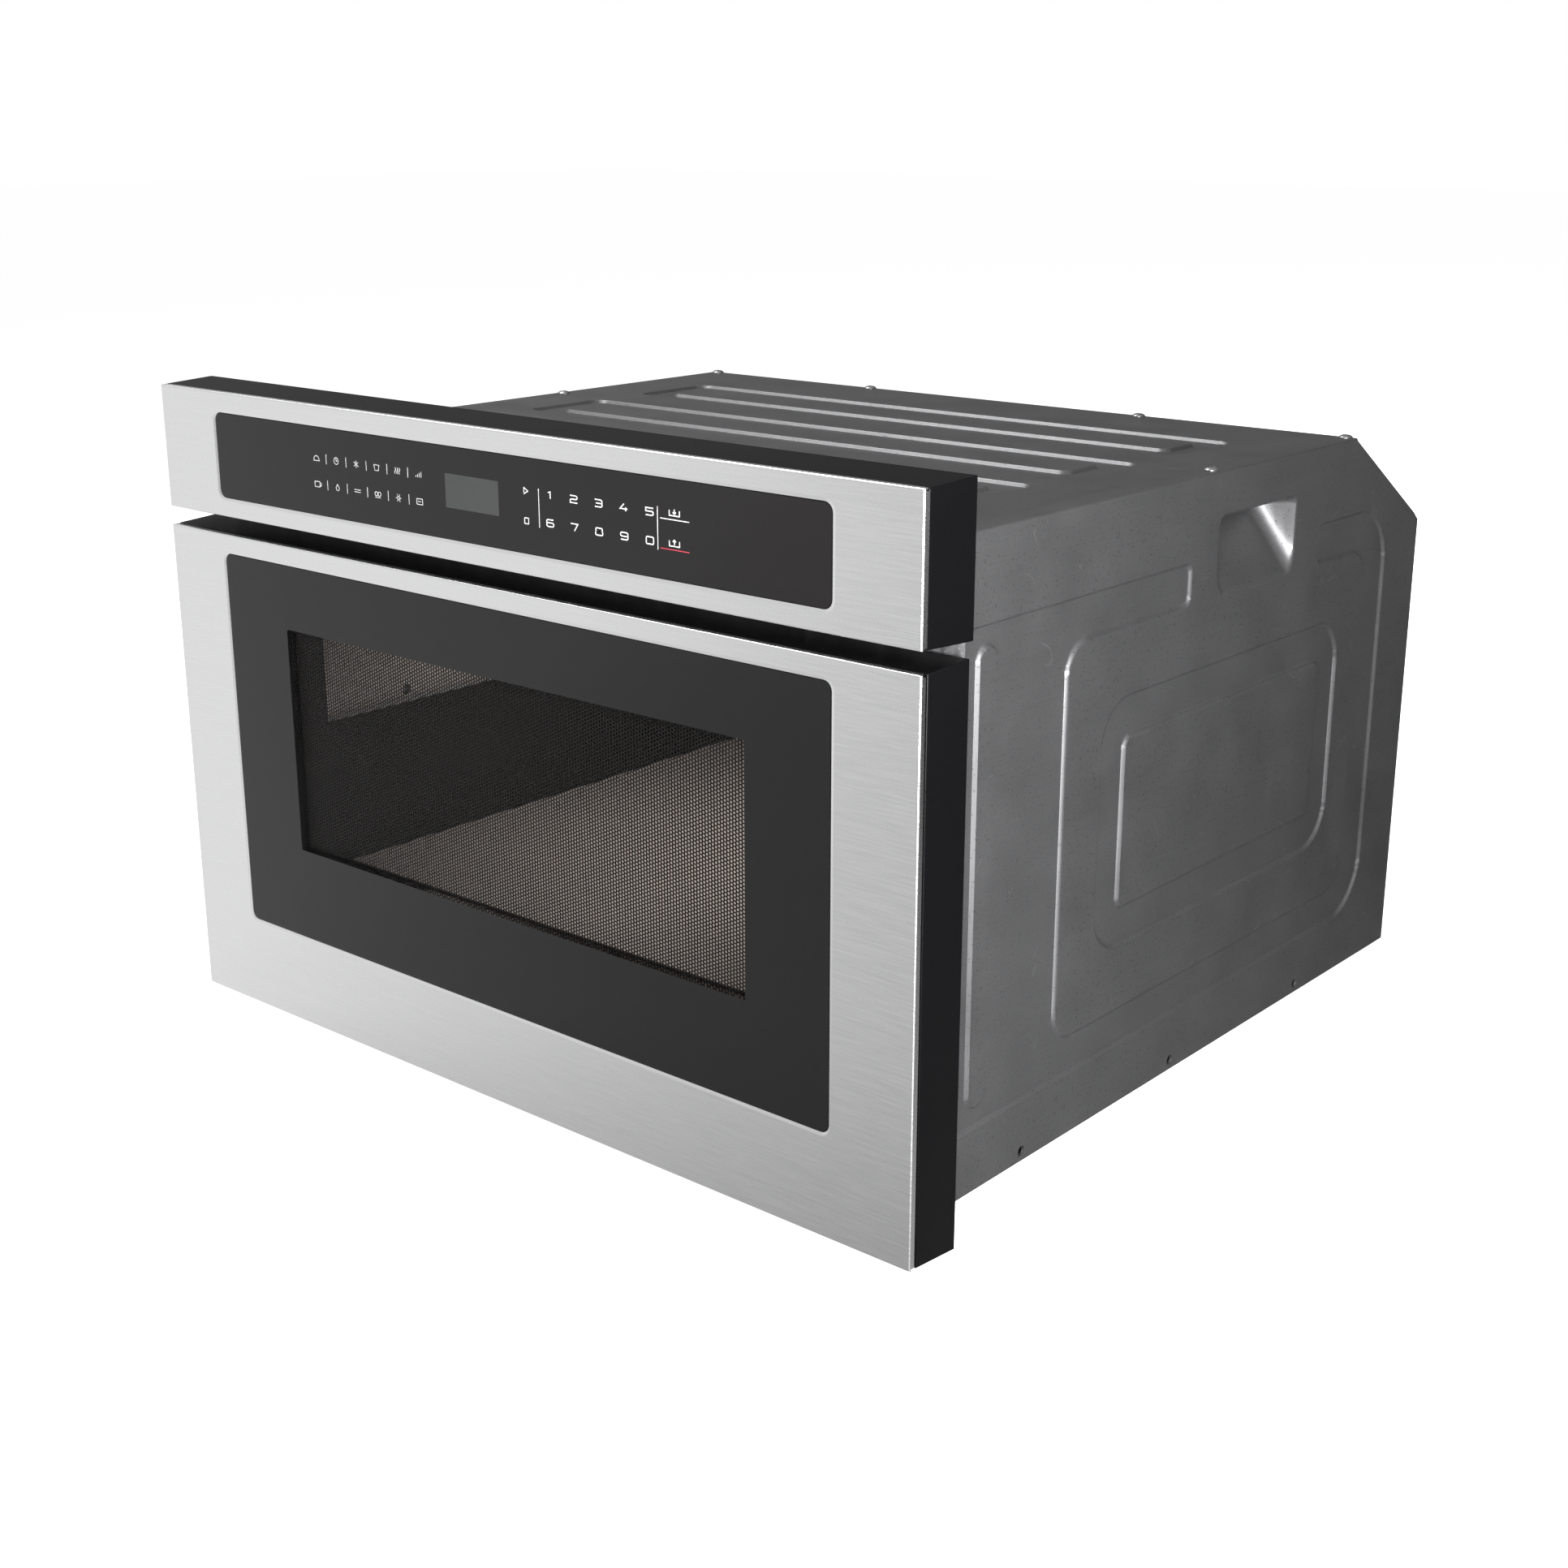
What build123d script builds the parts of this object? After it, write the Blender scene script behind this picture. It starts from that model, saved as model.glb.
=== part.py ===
from build123d import *

import math
import os

# A built-in microwave drawer. Sizes are in millimetres. While it is drawn, X = 0 is the middle of the
# front, Y = 0 is the face of the stainless front with +Y to the back, and Z = 0 is the lower edge of the
# stainless door. Each piece is moved to the part's own origin as it is written.

# ---- overall sizes -----------------------------------------------------------------------------
body_width = 556.6
body_height = 373.2
body_depth = 557.35
body_lift = 1.8
front_lap = 5.2
flange_reach = 19.7
top_lap = 34.3
control_height = 78.1
control_depth = 40.0
panel_gap = 11.4
door_depth = 37.2
frame_flare = 1.6

# ---- room between the cavity and the case ------------------------------------------------------
side_bay = 50.3
under_bay = 78.2
top_bay = 103.0
rear_bay = 119.35

# ---- sheets and clearances ---------------------------------------------------------------------
sheet = 0.8
base_sheet = 1.0
flange_sheet = 1.2
cavity_sheet = 1.0
pan_sheet = 1.5
seat_gap = 0.3
slide_gap = 0.6
shaft_gap = 0.05
screw_hole_gap = 0.2

# ---- case pressings ----------------------------------------------------------------------------
press_depth = 2.0
side_setback = 31.5
cover_flange = 12.5
inner_flange = 14.0
base_flange = 18.2
chamfer_run = 101.2
chamfer_drop = 63.2
rear_step = 0.95
lip_depth = 17.2
band_low = 37.5
band_top = 49.6
band_rear = 46.35
band_front_width = 97.2
band_low_width = 25.5
band_rear_width = 31.0
band_top_width = 26.8
band_corner = 40.0
island_corner = 18.0
band_break_front = 296.0
band_break_length = 155.5
band_break_corner = 8.0
slot_front = 13.5
slot_width = 15.0
slot_end_low = 14.0
slot_end_top = 13.1
ring_inset_front = 36.0
ring_inset_rear = 29.5
ring_inset_low = 38.7
ring_inset_top = 39.2
ring_width = 26.6
ring_corner = 30.0
ring_inner_corner = 6.0
scoop_inset = 30.0
scoop_width = 93.0
scoop_top = 27.5
scoop_height = 47.5
scoop_depth = 34.0
foot_hole_r = 3.2
foot_hole_height = 6.2
foot_hole_first = 66.8
foot_hole_pitch = 163.15
foot_hole_count = 3
bead_rear = 68.2
bead_pitch = 111.0
bead_length = 71.0
bead_side = 50.3
bead_width = 19.0
bead_corner = 10.0
bead_inner_corner = 5.0
bead_count = 3
crown_height = 1.5
crown_side = 18.3
crown_rear = 260.0

# ---- case screws -------------------------------------------------------------------------------
screw_r = 1.9
screw_length = 8.0
screw_head_r = 4.5
top_head_height = 2.0
rear_head_height = 1.6
top_screw_side = 7.3
top_screw_rear = 2.8
top_screw_inner_x = 117.0
top_screw_mid_y = 169.9
rear_screw_side = 10.0
rear_screw_heights = (25.0, 155.0, 285.0)
rear_screw_low_x = 90.0
rear_screw_low = 10.0

# ---- rear panel and base -----------------------------------------------------------------------
louvre_width = 104.0
louvre_height = 5.0
louvre_pitch = 12.0
louvre_count = 8
louvre_x = 150.0
gland_x = 205.0
gland_z = 284.0
gland_pocket = 44.0
gland_pocket_depth = 5.0
gland_bore_r = 4.2
gland_barrel_r = 9.4
gland_flange_r = 13.0
gland_flange = 2.5
gland_length = 14.0
base_slot_width = 8.0
base_slot_length = 40.0
base_slot_pitch = 20.0
base_slot_count = 9
base_slot_y = 225.0
base_rib_width = 12.0
base_rib_length = 120.0
base_rib_height = 2.0
base_rib_x = 60.0
base_rib_y = 340.0

# ---- front frame -------------------------------------------------------------------------------
flange_top_inset = 9.3
ring_depth = 30.0
ring_low_depth = 12.0
cabinet_hole_r = 2.3
cabinet_hole_edge = 9.85
cabinet_hole_low = 75.0
cabinet_hole_pitch = 180.0
arm_slot_inner = 4.0
arm_slot_width = 36.0
arm_slot_low = 18.2
arm_slot_height = 72.0
hook_slot_margin = 4.5

# ---- cavity and microwave feed -----------------------------------------------------------------
dome_size = 210.0
dome_rise = 20.0
cover_overlap = 13.0
cover_sheet = 1.2
feed_hole_r = 14.0
guide_width = 90.0
guide_height = 30.0
guide_end = 41.0
rotor_disc_r = 88.0
rotor_disc = 1.5
rotor_drop = 11.0
rotor_shaft_r = 3.0
rotor_hub_r = 9.0
rotor_slot_r = 52.0
rotor_slot_width = 14.0
antenna_motor_r = 24.0
antenna_motor_height = 18.0
magnetron_setback = 47.0
magnetron_flange_x = 96.0
magnetron_flange_y = 78.0
yoke_x = 88.0
yoke_y = 60.0
yoke_z = 54.0
yoke_sheet = 2.0
magnet_r = 26.0
magnet_height = 12.0
anode_r = 18.0
fin_sheet = 0.8
fin_count = 5
filter_x = 60.0
filter_y = 50.0
filter_z = 26.0
aerial_r = 8.0
aerial_height = 23.0

# ---- power parts -------------------------------------------------------------------------------
transformer_x = 150.0
transformer_setback = 57.0
core_x = 98.0
core_y = 50.0
core_z = 84.0
core_limb = 26.0
coil_overhang = 16.0
transformer_foot = 2.0
capacitor_x = 234.0
capacitor_setback = 62.0
capacitor_width = 33.0
capacitor_depth = 54.0
capacitor_height = 92.0
board_sheet = 1.6
board_standoff = 15.0
power_board_x = 200.0
power_board_y = 88.0
board_edge_x = 14.0
board_front = 14.0
filter_board_x = 90.0
filter_board_y = 78.0

# ---- cooling fan -------------------------------------------------------------------------------
fan_x = 150.0
fan_z = 200.0
fan_plate = 130.0
fan_depth = 25.0
fan_bore_r = 57.0
fan_wheel_r = 54.0
fan_hub_r = 16.0
fan_blades = 7
fan_blade = 1.6
fan_spoke = 3.0
fan_motor_r = 26.0
fan_motor_length = 42.0
fan_shaft_r = 3.0
duct_wall = 1.5
duct_reach = 102.0
duct_low = 60.0
duct_top = 92.0
duct_front_gap = 7.0

# ---- lamp, wall screw and cut-outs ----------------------------------------------------------------
lamp_x = 160.0
lamp_y = 100.0
lamp_hole_x = 56.0
lamp_hole_y = 36.0
lamp_rim = 3.0
lens_sheet = 2.0
lamp_box_height = 36.0
bulb_r = 10.0
bulb_height = 24.0
wall_screw_y = 124.2
wall_screw_z = 196.8
wall_screw_r = 3.5
wall_screw_head = 1.5
cutout_r = 8.0
cutout_height = 5.0

# ---- drawer pan --------------------------------------------------------------------------------
pan_front = 50.0
pan_side_gap = 6.5
pan_rear_gap = 7.5
pan_lift = 5.5
pan_wall = 98.5
tray_sheet = 5.0
rim_height = 3.0
rim_inside = 0.8
rim_outside = 2.5
rim_skirt = 6.5
glide_x = 180.0
glide_width = 14.0
glide_length = 24.0

# ---- door --------------------------------------------------------------------------------------
front_sheet = 1.0
door_return = 3.6
control_return = 4.0
groove = 1.7
lip_inset = 1.5
lip_gap = 0.2
frame_wall = 3.0
frame_back = 2.5
glass_side = 55.2
glass_corner = 5.5
bevel = 1.8
bevel_depth = 0.6
glass_sink = 0.5
door_glass_low = 61.0
door_glass_top = 12.1
door_glass_sheet = 4.0
control_glass_low = 12.0
control_glass_top = 12.6
control_glass_sheet = 3.2
screen_back = 6.8
screen_sheet = 0.6
screen_margin = 8.0
window_side = 30.2
window_sill = 29.6
window_head = 5.3
tunnel_side = 0.3
tunnel_sill = 7.0
tunnel_head = 4.0
tunnel_wall = 1.5
inner_sheet = 1.2
choke_width = 34.0
choke_sheet = 2.2
bumper_r = 5.0
bumper_edge = 12.0
bumper_low = 30.0
bumper_top = 290.0

# ---- control panel -----------------------------------------------------------------------------
display_x = -12.0
display_width = 52.0
display_height = 26.0
display_depth = 8.7
touch_inset = 5.0
touch_sheet = 1.6

# ---- slides and drawer arms --------------------------------------------------------------------
drawer_travel = 380.0
arm_offset = 22.3
arm_sheet = 2.0
arm_low = 22.2
arm_height = 64.0
arm_length = 462.0
arm_flange = 16.0
slide_low = 31.2
slide_height = 46.0
slide_depth = 12.7
slide_sheet = 1.2
slide_front = 56.0
slide_length = 450.0
bracket_sheet = 1.5
bracket_foot = 11.0
bracket_rise = 5.0

# ---- drive -------------------------------------------------------------------------------------
gear_module = 1.5
pinion_teeth = 18
pressure_angle = 20.0
backlash = 0.3
root_gap = 0.25
pinion_width = 10.0
rack_width = 12.3
rack_back = 8.6
rack_front = 72.0
rack_spare = 22.0
shaft_r = 4.0
shaft_y = 90.0
shaft_height = 37.2
bearing_width = 16.0
bearing_setback = 14.0
bearing_length = 24.0
bearing_cap = 10.0
gearbox_x = -105.0
gearbox_width = 54.0
gearbox_length = 52.0
gearbox_height = 62.0
motor_r = 18.0
motor_length = 66.0
motor_height = 23.2

# ---- interlock ---------------------------------------------------------------------------------
hook_offset = 18.5
hook_sheet = 3.0
hook_height = 20.0
hook_low = 180.0
hook_reach = 35.0
switch_count = 3
switch_x = 6.0
switch_y = 28.0
switch_z = 16.0
switch_pitch = 20.0
switch_setback = 10.0

# ---- places that follow from the sizes ---------------------------------------------------------
case_half = body_width / 2
base_z = body_lift
roof_z = base_z + body_height
flange_front = control_depth
flange_back = flange_front + flange_sheet
rear_y = flange_front + body_depth
rear_inner = rear_y - sheet
flange_half = case_half + flange_reach
front_half = flange_half + front_lap
front_top = roof_z + top_lap
control_bottom = front_top - control_height
door_top = control_bottom - panel_gap
overall_depth = rear_y + rear_head_height
glass_half = front_half - glass_side

side_out = case_half - sheet
side_in = side_out - sheet
cover_under = roof_z - sheet
base_top = base_z + base_sheet
side_front = flange_front + side_setback
chamfer_z = cover_under - sheet
chamfer_y = rear_y - rear_step - chamfer_run

cavity_half = case_half - side_bay
cavity_floor = base_z + under_bay
cavity_roof = roof_z - top_bay
cavity_back = rear_y - rear_bay
cavity_outer = cavity_half + cavity_sheet
roof_outer = cavity_roof + cavity_sheet
dome_top = roof_outer + dome_rise
antenna_y = (flange_front + cavity_back) / 2
magnetron_y = cavity_back + magnetron_setback

pan_out = cavity_half - pan_side_gap
pan_in = pan_out - pan_sheet
pan_back = cavity_back - pan_rear_gap
pan_low = cavity_floor + pan_lift
tray_low = pan_low + pan_sheet
tray_top = tray_low + tray_sheet
rim_low = tray_top + pan_wall
window_half = pan_in - window_side
window_low = tray_top + window_sill
window_top = cavity_roof - window_head
tunnel_half = pan_in - tunnel_side
tunnel_low = tray_top + tunnel_sill
tunnel_top = cavity_roof - tunnel_head

door_opening = (door_glass_low, door_top - door_glass_top)
control_opening = (control_bottom + control_glass_low, front_top - control_glass_top)

arm_in = cavity_half + arm_offset
arm_out = arm_in + arm_sheet
slide_out = arm_out + slide_depth
arm_z = base_z + arm_low
slide_z = base_z + slide_low
shaft_z = base_z + shaft_height
pitch_r = gear_module * pinion_teeth / 2
hook_in = cavity_half + hook_offset


# ---- small builders ----------------------------------------------------------------------------
def block(x0, x1, y0, y1, z0, z1):
    """A box between two opposite corners."""
    middle = Pos((x0 + x1) / 2, (y0 + y1) / 2, (z0 + z1) / 2)
    return middle * Box(x1 - x0, y1 - y0, z1 - z0)


def rod(centre, radius, length, direction):
    """A round bar that starts at a centre and runs along a direction."""
    return extrude(Plane(origin=centre, z_dir=direction) * Circle(radius), length)


def panel(half, z0, z1, y0, y1, corner=0.0):
    """An upright slab across the front, with rounded corners where a radius is given."""
    flat = Plane(origin=(0, y0, (z0 + z1) / 2), x_dir=(1, 0, 0), z_dir=(0, 1, 0))
    if corner > 0:
        return extrude(flat * RectangleRounded(2 * half, z1 - z0, corner), y1 - y0)
    return extrude(flat * Rectangle(2 * half, z1 - z0), y1 - y0)


def patch(u0, u1, v0, v1, corner):
    """A flat rounded rectangle between two corners of its own plane."""
    return Pos((u0 + u1) / 2, (v0 + v1) / 2) * RectangleRounded(u1 - u0, v1 - v0, corner)


def side_plane(x):
    """The plane of a side wall, where across is Y, up is Z and out is +X."""
    return Plane(origin=(x, 0, 0), x_dir=(0, 1, 0), z_dir=(1, 0, 0))


def group(*shapes):
    """Separate solids that belong to one piece."""
    return Compound(children=[solid for shape in shapes for solid in shape.solids()])


def beside(points, distance):
    """The points of a line moved sideways, to the right of its direction, with mitred corners."""
    normals = []
    for (u0, v0), (u1, v1) in zip(points, points[1:]):
        length = math.hypot(u1 - u0, v1 - v0)
        normals.append(((v1 - v0) / length, -(u1 - u0) / length))
    moved = []
    for index, (u, v) in enumerate(points):
        a = normals[max(index - 1, 0)]
        b = normals[min(index, len(normals) - 1)]
        scale = distance / (1 + a[0] * b[0] + a[1] * b[1])
        moved.append((u + (a[0] + b[0]) * scale, v + (a[1] + b[1]) * scale))
    return moved


def closed_face(points):
    """A flat face inside a closed line of points."""
    return make_face(Polyline(*points, close=True))


def pressed(wall, plane, outline, depth, thickness):
    """A sheet pressed inwards inside an outline, with its thickness kept."""
    boss = extrude(plane * offset(outline, thickness), -(depth + thickness))
    return wall + boss - extrude(plane * outline, -depth)


def both(name, shape):
    """Writes the right-hand piece and its mirror image on the left."""
    write(name + "_right", shape)
    write(name + "_left", mirror(shape, about=Plane.YZ))


def write(name, shape):
    """Moves a piece to the part's origin and writes it."""
    placed = Pos(0, -overall_depth / 2, frame_flare) * shape
    export_step(placed, os.path.join("parts", name + ".step"))


# ---- case --------------------------------------------------------------------------------------
def rear_line():
    """The outer line of the rear panel, from the lip under the top cover down to the base."""
    lower = chamfer_z - chamfer_drop
    return [
        (chamfer_y - lip_depth, chamfer_z),
        (chamfer_y, chamfer_z),
        (rear_y - rear_step, lower),
        (rear_y, lower - 2 * rear_step),
        (rear_y, base_z),
    ]


def island():
    """The raised field inside the pressed band of a side panel, as y0, y1, z0, z1."""
    y0 = side_front + band_front_width
    y1 = rear_y - band_rear - band_rear_width
    z0 = base_z + band_low + band_low_width
    z1 = roof_z - band_top - band_top_width
    return y0, y1, z0, z1


def band_outline():
    """The pressed C-shaped band of a side panel, open where the hand scoop is."""
    outer = patch(side_front - 2 * band_corner, rear_y - band_rear, base_z + band_low,
                  roof_z - band_top, band_corner)
    middle = patch(*island(), island_corner)
    gap = patch(band_break_front, band_break_front + band_break_length,
                island()[3] - 2 * band_break_corner, roof_z - band_top + 2 * band_break_corner,
                band_break_corner)
    slot_y = side_front + slot_front
    slot = patch(slot_y, slot_y + slot_width, base_z + band_low + slot_end_low,
                 roof_z - band_top - slot_end_top, slot_width / 2 - 0.01)
    return outer - middle - gap - slot


def ring_outline():
    """The pressed ring in the middle of a side panel."""
    y0, y1, z0, z1 = island()
    y0, y1 = y0 + ring_inset_front, y1 - ring_inset_rear
    z0, z1 = z0 + ring_inset_low, z1 - ring_inset_top
    outer = patch(y0, y1, z0, z1, ring_corner)
    inner = patch(y0 + ring_width, y1 - ring_width, z0 + ring_width, z1 - ring_width,
                  ring_inner_corner)
    return outer - inner


def scoop(grow):
    """The wedge of air in the hand scoop: flush along its lower edge and deepest at the top."""
    y0 = band_break_front + scoop_inset
    z1 = roof_z - scoop_top
    z0 = z1 - scoop_height
    section = Plane(origin=(0, y0 - grow, 0), x_dir=(1, 0, 0), z_dir=(0, -1, 0))
    face = closed_face([
        (side_out + grow, z0 - 2 * grow),
        (side_out + grow, z1 + grow),
        (side_out - scoop_depth - grow, z1 + grow),
    ])
    return extrude(section * face, -(scoop_width + 2 * grow))


def foot_holes():
    """The screw holes along the foot of a side panel."""
    holes = []
    for index in range(foot_hole_count):
        y = side_front + foot_hole_first + index * foot_hole_pitch
        centre = (side_in - 2 * base_sheet, y, base_z + foot_hole_height)
        holes.append(rod(centre, foot_hole_r, 6 * base_sheet, (1, 0, 0)))
    return holes


def side_panel():
    """The right-hand side of the case, with its band, ring, slot and hand scoop."""
    line = rear_line()
    outline = [(side_front, base_z), (side_front, cover_under), (chamfer_y, cover_under)]
    outline += line[1:]
    wall = extrude(side_plane(side_in) * closed_face(outline), sheet)
    wall = pressed(wall, side_plane(side_out), band_outline(), press_depth, sheet)
    wall = pressed(wall, side_plane(side_out), ring_outline(), press_depth, sheet)
    inside_case = block(0, side_out, side_front, rear_y, base_z, roof_z)
    wall = (wall + scoop(sheet)) & inside_case
    wall -= scoop(0)
    front = flange_back + ring_depth + seat_gap
    wall += block(side_in - inner_flange, side_in, front, chamfer_y, cover_under - sheet, cover_under)
    wall += block(side_in - inner_flange, side_in, rear_inner - sheet, rear_inner,
                  base_top + base_flange, chamfer_z - chamfer_drop - inner_flange)
    for hole in foot_holes():
        wall -= hole
    for centre, way in screw_places():
        wall -= screw_hole(centre, way)
    return wall


def screw_places():
    """Where each case screw's head sits, and the way its shank points."""
    places = []
    for side in (-1, 1):
        edge = side * (case_half - top_screw_side)
        rear = chamfer_y - top_screw_rear
        for x, y in ((edge, rear), (side * top_screw_inner_x, rear), (edge, rear - top_screw_mid_y)):
            places.append(((x, y, roof_z), (0, 0, -1)))
        for z in rear_screw_heights:
            places.append(((side * (side_out - rear_screw_side), rear_y, z), (0, -1, 0)))
        places.append(((side * rear_screw_low_x, rear_y, base_z + rear_screw_low), (0, -1, 0)))
    return places


def screw_hole(centre, way):
    """The clearance hole of one case screw."""
    start = tuple(c - w for c, w in zip(centre, way))
    return rod(start, screw_r + screw_hole_gap, screw_length + 1, way)


def case_screws():
    """All screws of the case, each with a low round head."""
    screws = []
    for centre, way in screw_places():
        head = rear_head_height if way[2] == 0 else top_head_height
        shank = rod(centre, screw_r, screw_length, way)
        cap = rod(centre, screw_head_r, head, tuple(-w for w in way))
        cap = fillet(cap.edges().filter_by(GeomType.CIRCLE).sort_by(Axis((0, 0, 0), way))[0],
                     head / 2)
        screws.append(shank + cap)
    head = rod((-cavity_half, wall_screw_y, wall_screw_z), wall_screw_r, wall_screw_head, (1, 0, 0))
    screws.append(wall_screw(screw_r) + head)
    return group(*screws)


def top_cover():
    """The top of the case, with a low crown at the front and three ring beads."""
    cover = block(-case_half, case_half, flange_back, chamfer_y, cover_under, roof_z)
    for side in (-1, 1):
        inner, outer = sorted((side * side_out, side * case_half))
        cover += block(inner, outer, flange_back, chamfer_y, roof_z - cover_flange, roof_z)
    crown_half = case_half - crown_side
    crown_end = chamfer_y - crown_rear
    cover += block(-crown_half, crown_half, flange_back, crown_end, roof_z, roof_z + crown_height)
    cover -= block(-crown_half + sheet, crown_half - sheet, flange_back, crown_end - sheet,
                   cover_under, cover_under + crown_height)
    half = case_half - bead_side
    for index in range(bead_count):
        y1 = chamfer_y - bead_rear - index * bead_pitch
        y0 = y1 - bead_length
        level = roof_z + (crown_height if y1 < crown_end else 0)
        flat = Plane(origin=(0, 0, level))
        outer = patch(-half, half, y0, y1, bead_corner)
        inner = patch(-half + bead_width, half - bead_width, y0 + bead_width, y1 - bead_width,
                      bead_inner_corner)
        cover = pressed(cover, flat, outer - inner, press_depth, sheet)
    for centre, way in screw_places():
        cover -= screw_hole(centre, way)
    return cover


def rear_panel():
    """The rear wall with its sloped upper part, air slots and the pocket of the cord gland."""
    line = rear_line()
    face = closed_face(line + beside(line, sheet)[::-1])
    wall = extrude(side_plane(-side_in) * face, 2 * side_in)
    back = Plane(origin=(0, rear_y, 0), x_dir=(-1, 0, 0), z_dir=(0, 1, 0))
    half = gland_pocket / 2
    pocket = patch(-gland_x - half, -gland_x + half, gland_z - half, gland_z + half, bead_inner_corner)
    wall = pressed(wall, back, pocket, gland_pocket_depth, sheet)
    for side in (-1, 1):
        for index in range(louvre_count):
            z = fan_z + (index - (louvre_count - 1) / 2) * louvre_pitch
            x = side * louvre_x
            wall -= block(x - louvre_width / 2, x + louvre_width / 2, rear_inner - 1, rear_y + 1,
                          z - louvre_height / 2, z + louvre_height / 2)
    wall -= rod((gland_x, rear_y - gland_pocket_depth - 2 * sheet, gland_z), gland_barrel_r + 0.1,
                2 * sheet, (0, 1, 0))
    for centre, way in screw_places():
        wall -= screw_hole(centre, way)
    return wall


def base_panel():
    """The floor of the case, with turned-up edges, air slots and two stiffening ribs."""
    floor = block(-side_in, side_in, flange_back, rear_inner, base_z, base_top)
    front = flange_back + ring_depth + seat_gap
    top = base_z + base_flange
    for side in (-1, 1):
        inner, outer = sorted((side * (side_in - base_sheet), side * side_in))
        floor += block(inner, outer, front, rear_inner - inner_flange, base_z, top)
        x = side * base_rib_x
        rib = (x - base_rib_width / 2, x + base_rib_width / 2, base_rib_y, base_rib_y + base_rib_length)
        flat = Plane(origin=(0, 0, base_z), x_dir=(1, 0, 0), z_dir=(0, 0, -1))
        outline = patch(rib[0], rib[1], -rib[3], -rib[2], base_rib_width / 2 - 0.01)
        floor = pressed(floor, flat, outline, base_rib_height, base_sheet)
    half = side_in - inner_flange - 2 * base_sheet
    floor += block(-half, half, rear_inner - base_sheet, rear_inner, base_z, top)
    for index in range(base_slot_count):
        x = (index - (base_slot_count - 1) / 2) * base_slot_pitch
        floor -= extrude(Plane(origin=(0, 0, base_z - 1)) * patch(
            x - base_slot_width / 2, x + base_slot_width / 2, base_slot_y,
            base_slot_y + base_slot_length, base_slot_width / 2 - 0.01), base_sheet + 2)
    for hole in foot_holes():
        floor -= hole
        floor -= mirror(hole, about=Plane.YZ)
    for centre, way in screw_places():
        floor -= screw_hole(centre, way)
    return floor


def front_frame():
    """The galvanised plate behind the front, which laps the cabinet and carries the cavity."""
    top = front_top - flange_top_inset
    plate = panel(flange_half, base_z, top, flange_front, flange_back, glass_corner)
    plate -= panel(cavity_half, cavity_floor, cavity_roof, flange_front - 1, flange_back + 1)
    for side in (-1, 1):
        x0, x1 = sorted((side * (cavity_half + arm_slot_inner),
                         side * (cavity_half + arm_slot_inner + arm_slot_width)))
        z0 = base_z + arm_slot_low
        plate -= block(x0, x1, flange_front - 1, flange_back + 1, z0, z0 + arm_slot_height)
        x0, x1 = sorted((side * (hook_in - hook_slot_margin),
                         side * (hook_in + hook_sheet + hook_slot_margin)))
        plate -= block(x0, x1, flange_front - 1, flange_back + 1, hook_low - hook_slot_margin,
                       hook_low + hook_height + hook_slot_margin)
        for index in range(2):
            centre = (side * (flange_half - cabinet_hole_edge), flange_front - 1,
                      cabinet_hole_low + index * cabinet_hole_pitch)
            plate -= rod(centre, cabinet_hole_r, flange_sheet + 2, (0, 1, 0))
    edge = flange_back + ring_depth
    ring = block(-side_out, side_out, flange_back, edge, base_z, cover_under)
    ring -= block(-side_in, side_in, flange_back, edge, base_z, cover_under - sheet)
    lower_edge = flange_back + ring_low_depth
    return plate + ring + block(-side_in, side_in, flange_back, lower_edge, base_top, base_top + sheet)


# ---- cavity and microwave feed -----------------------------------------------------------------
def cavity_shell():
    """The fixed oven cavity: welded sheets, open to the front, with a raised dome on the ceiling."""
    back = cavity_back + cavity_sheet
    floor = block(-cavity_outer, cavity_outer, flange_back, back, cavity_floor - cavity_sheet,
                  cavity_floor)
    right = block(cavity_half, cavity_outer, flange_back, back, cavity_floor, cavity_roof)
    left = mirror(right, about=Plane.YZ) - wall_screw(screw_r + screw_hole_gap)
    rear = block(-cavity_half, cavity_half, cavity_back, back, cavity_floor, cavity_roof)
    half = dome_size / 2
    roof = block(-cavity_outer, cavity_outer, flange_back, back, cavity_roof, roof_outer)
    roof -= block(-half, half, antenna_y - half, antenna_y + half, cavity_roof, roof_outer)
    roof -= block(lamp_x - lamp_hole_x / 2, lamp_x + lamp_hole_x / 2, lamp_y - lamp_hole_y / 2,
                  lamp_y + lamp_hole_y / 2, cavity_roof, roof_outer)
    outer = half + cavity_sheet
    dome = block(-outer, outer, antenna_y - outer, antenna_y + outer, roof_outer, dome_top)
    dome -= block(-half, half, antenna_y - half, antenna_y + half, roof_outer,
                  dome_top - cavity_sheet)
    dome -= rod((0, antenna_y, roof_outer), feed_hole_r, dome_rise + 1, (0, 0, 1))
    return group(floor, right, left, rear, roof, dome)


def wall_screw(radius):
    """The shank of the screw in the cavity's left wall, or its hole."""
    centre = (-cavity_half + 1, wall_screw_y, wall_screw_z)
    return rod(centre, radius, screw_length, (-1, 0, 0))


def ceiling_cover():
    """The flat cover plate under the ceiling dome."""
    half = dome_size / 2 + cover_overlap
    flat = Plane(origin=(0, antenna_y, cavity_roof))
    return extrude(flat * RectangleRounded(2 * half, 2 * half, bead_corner), -cover_sheet)


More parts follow.
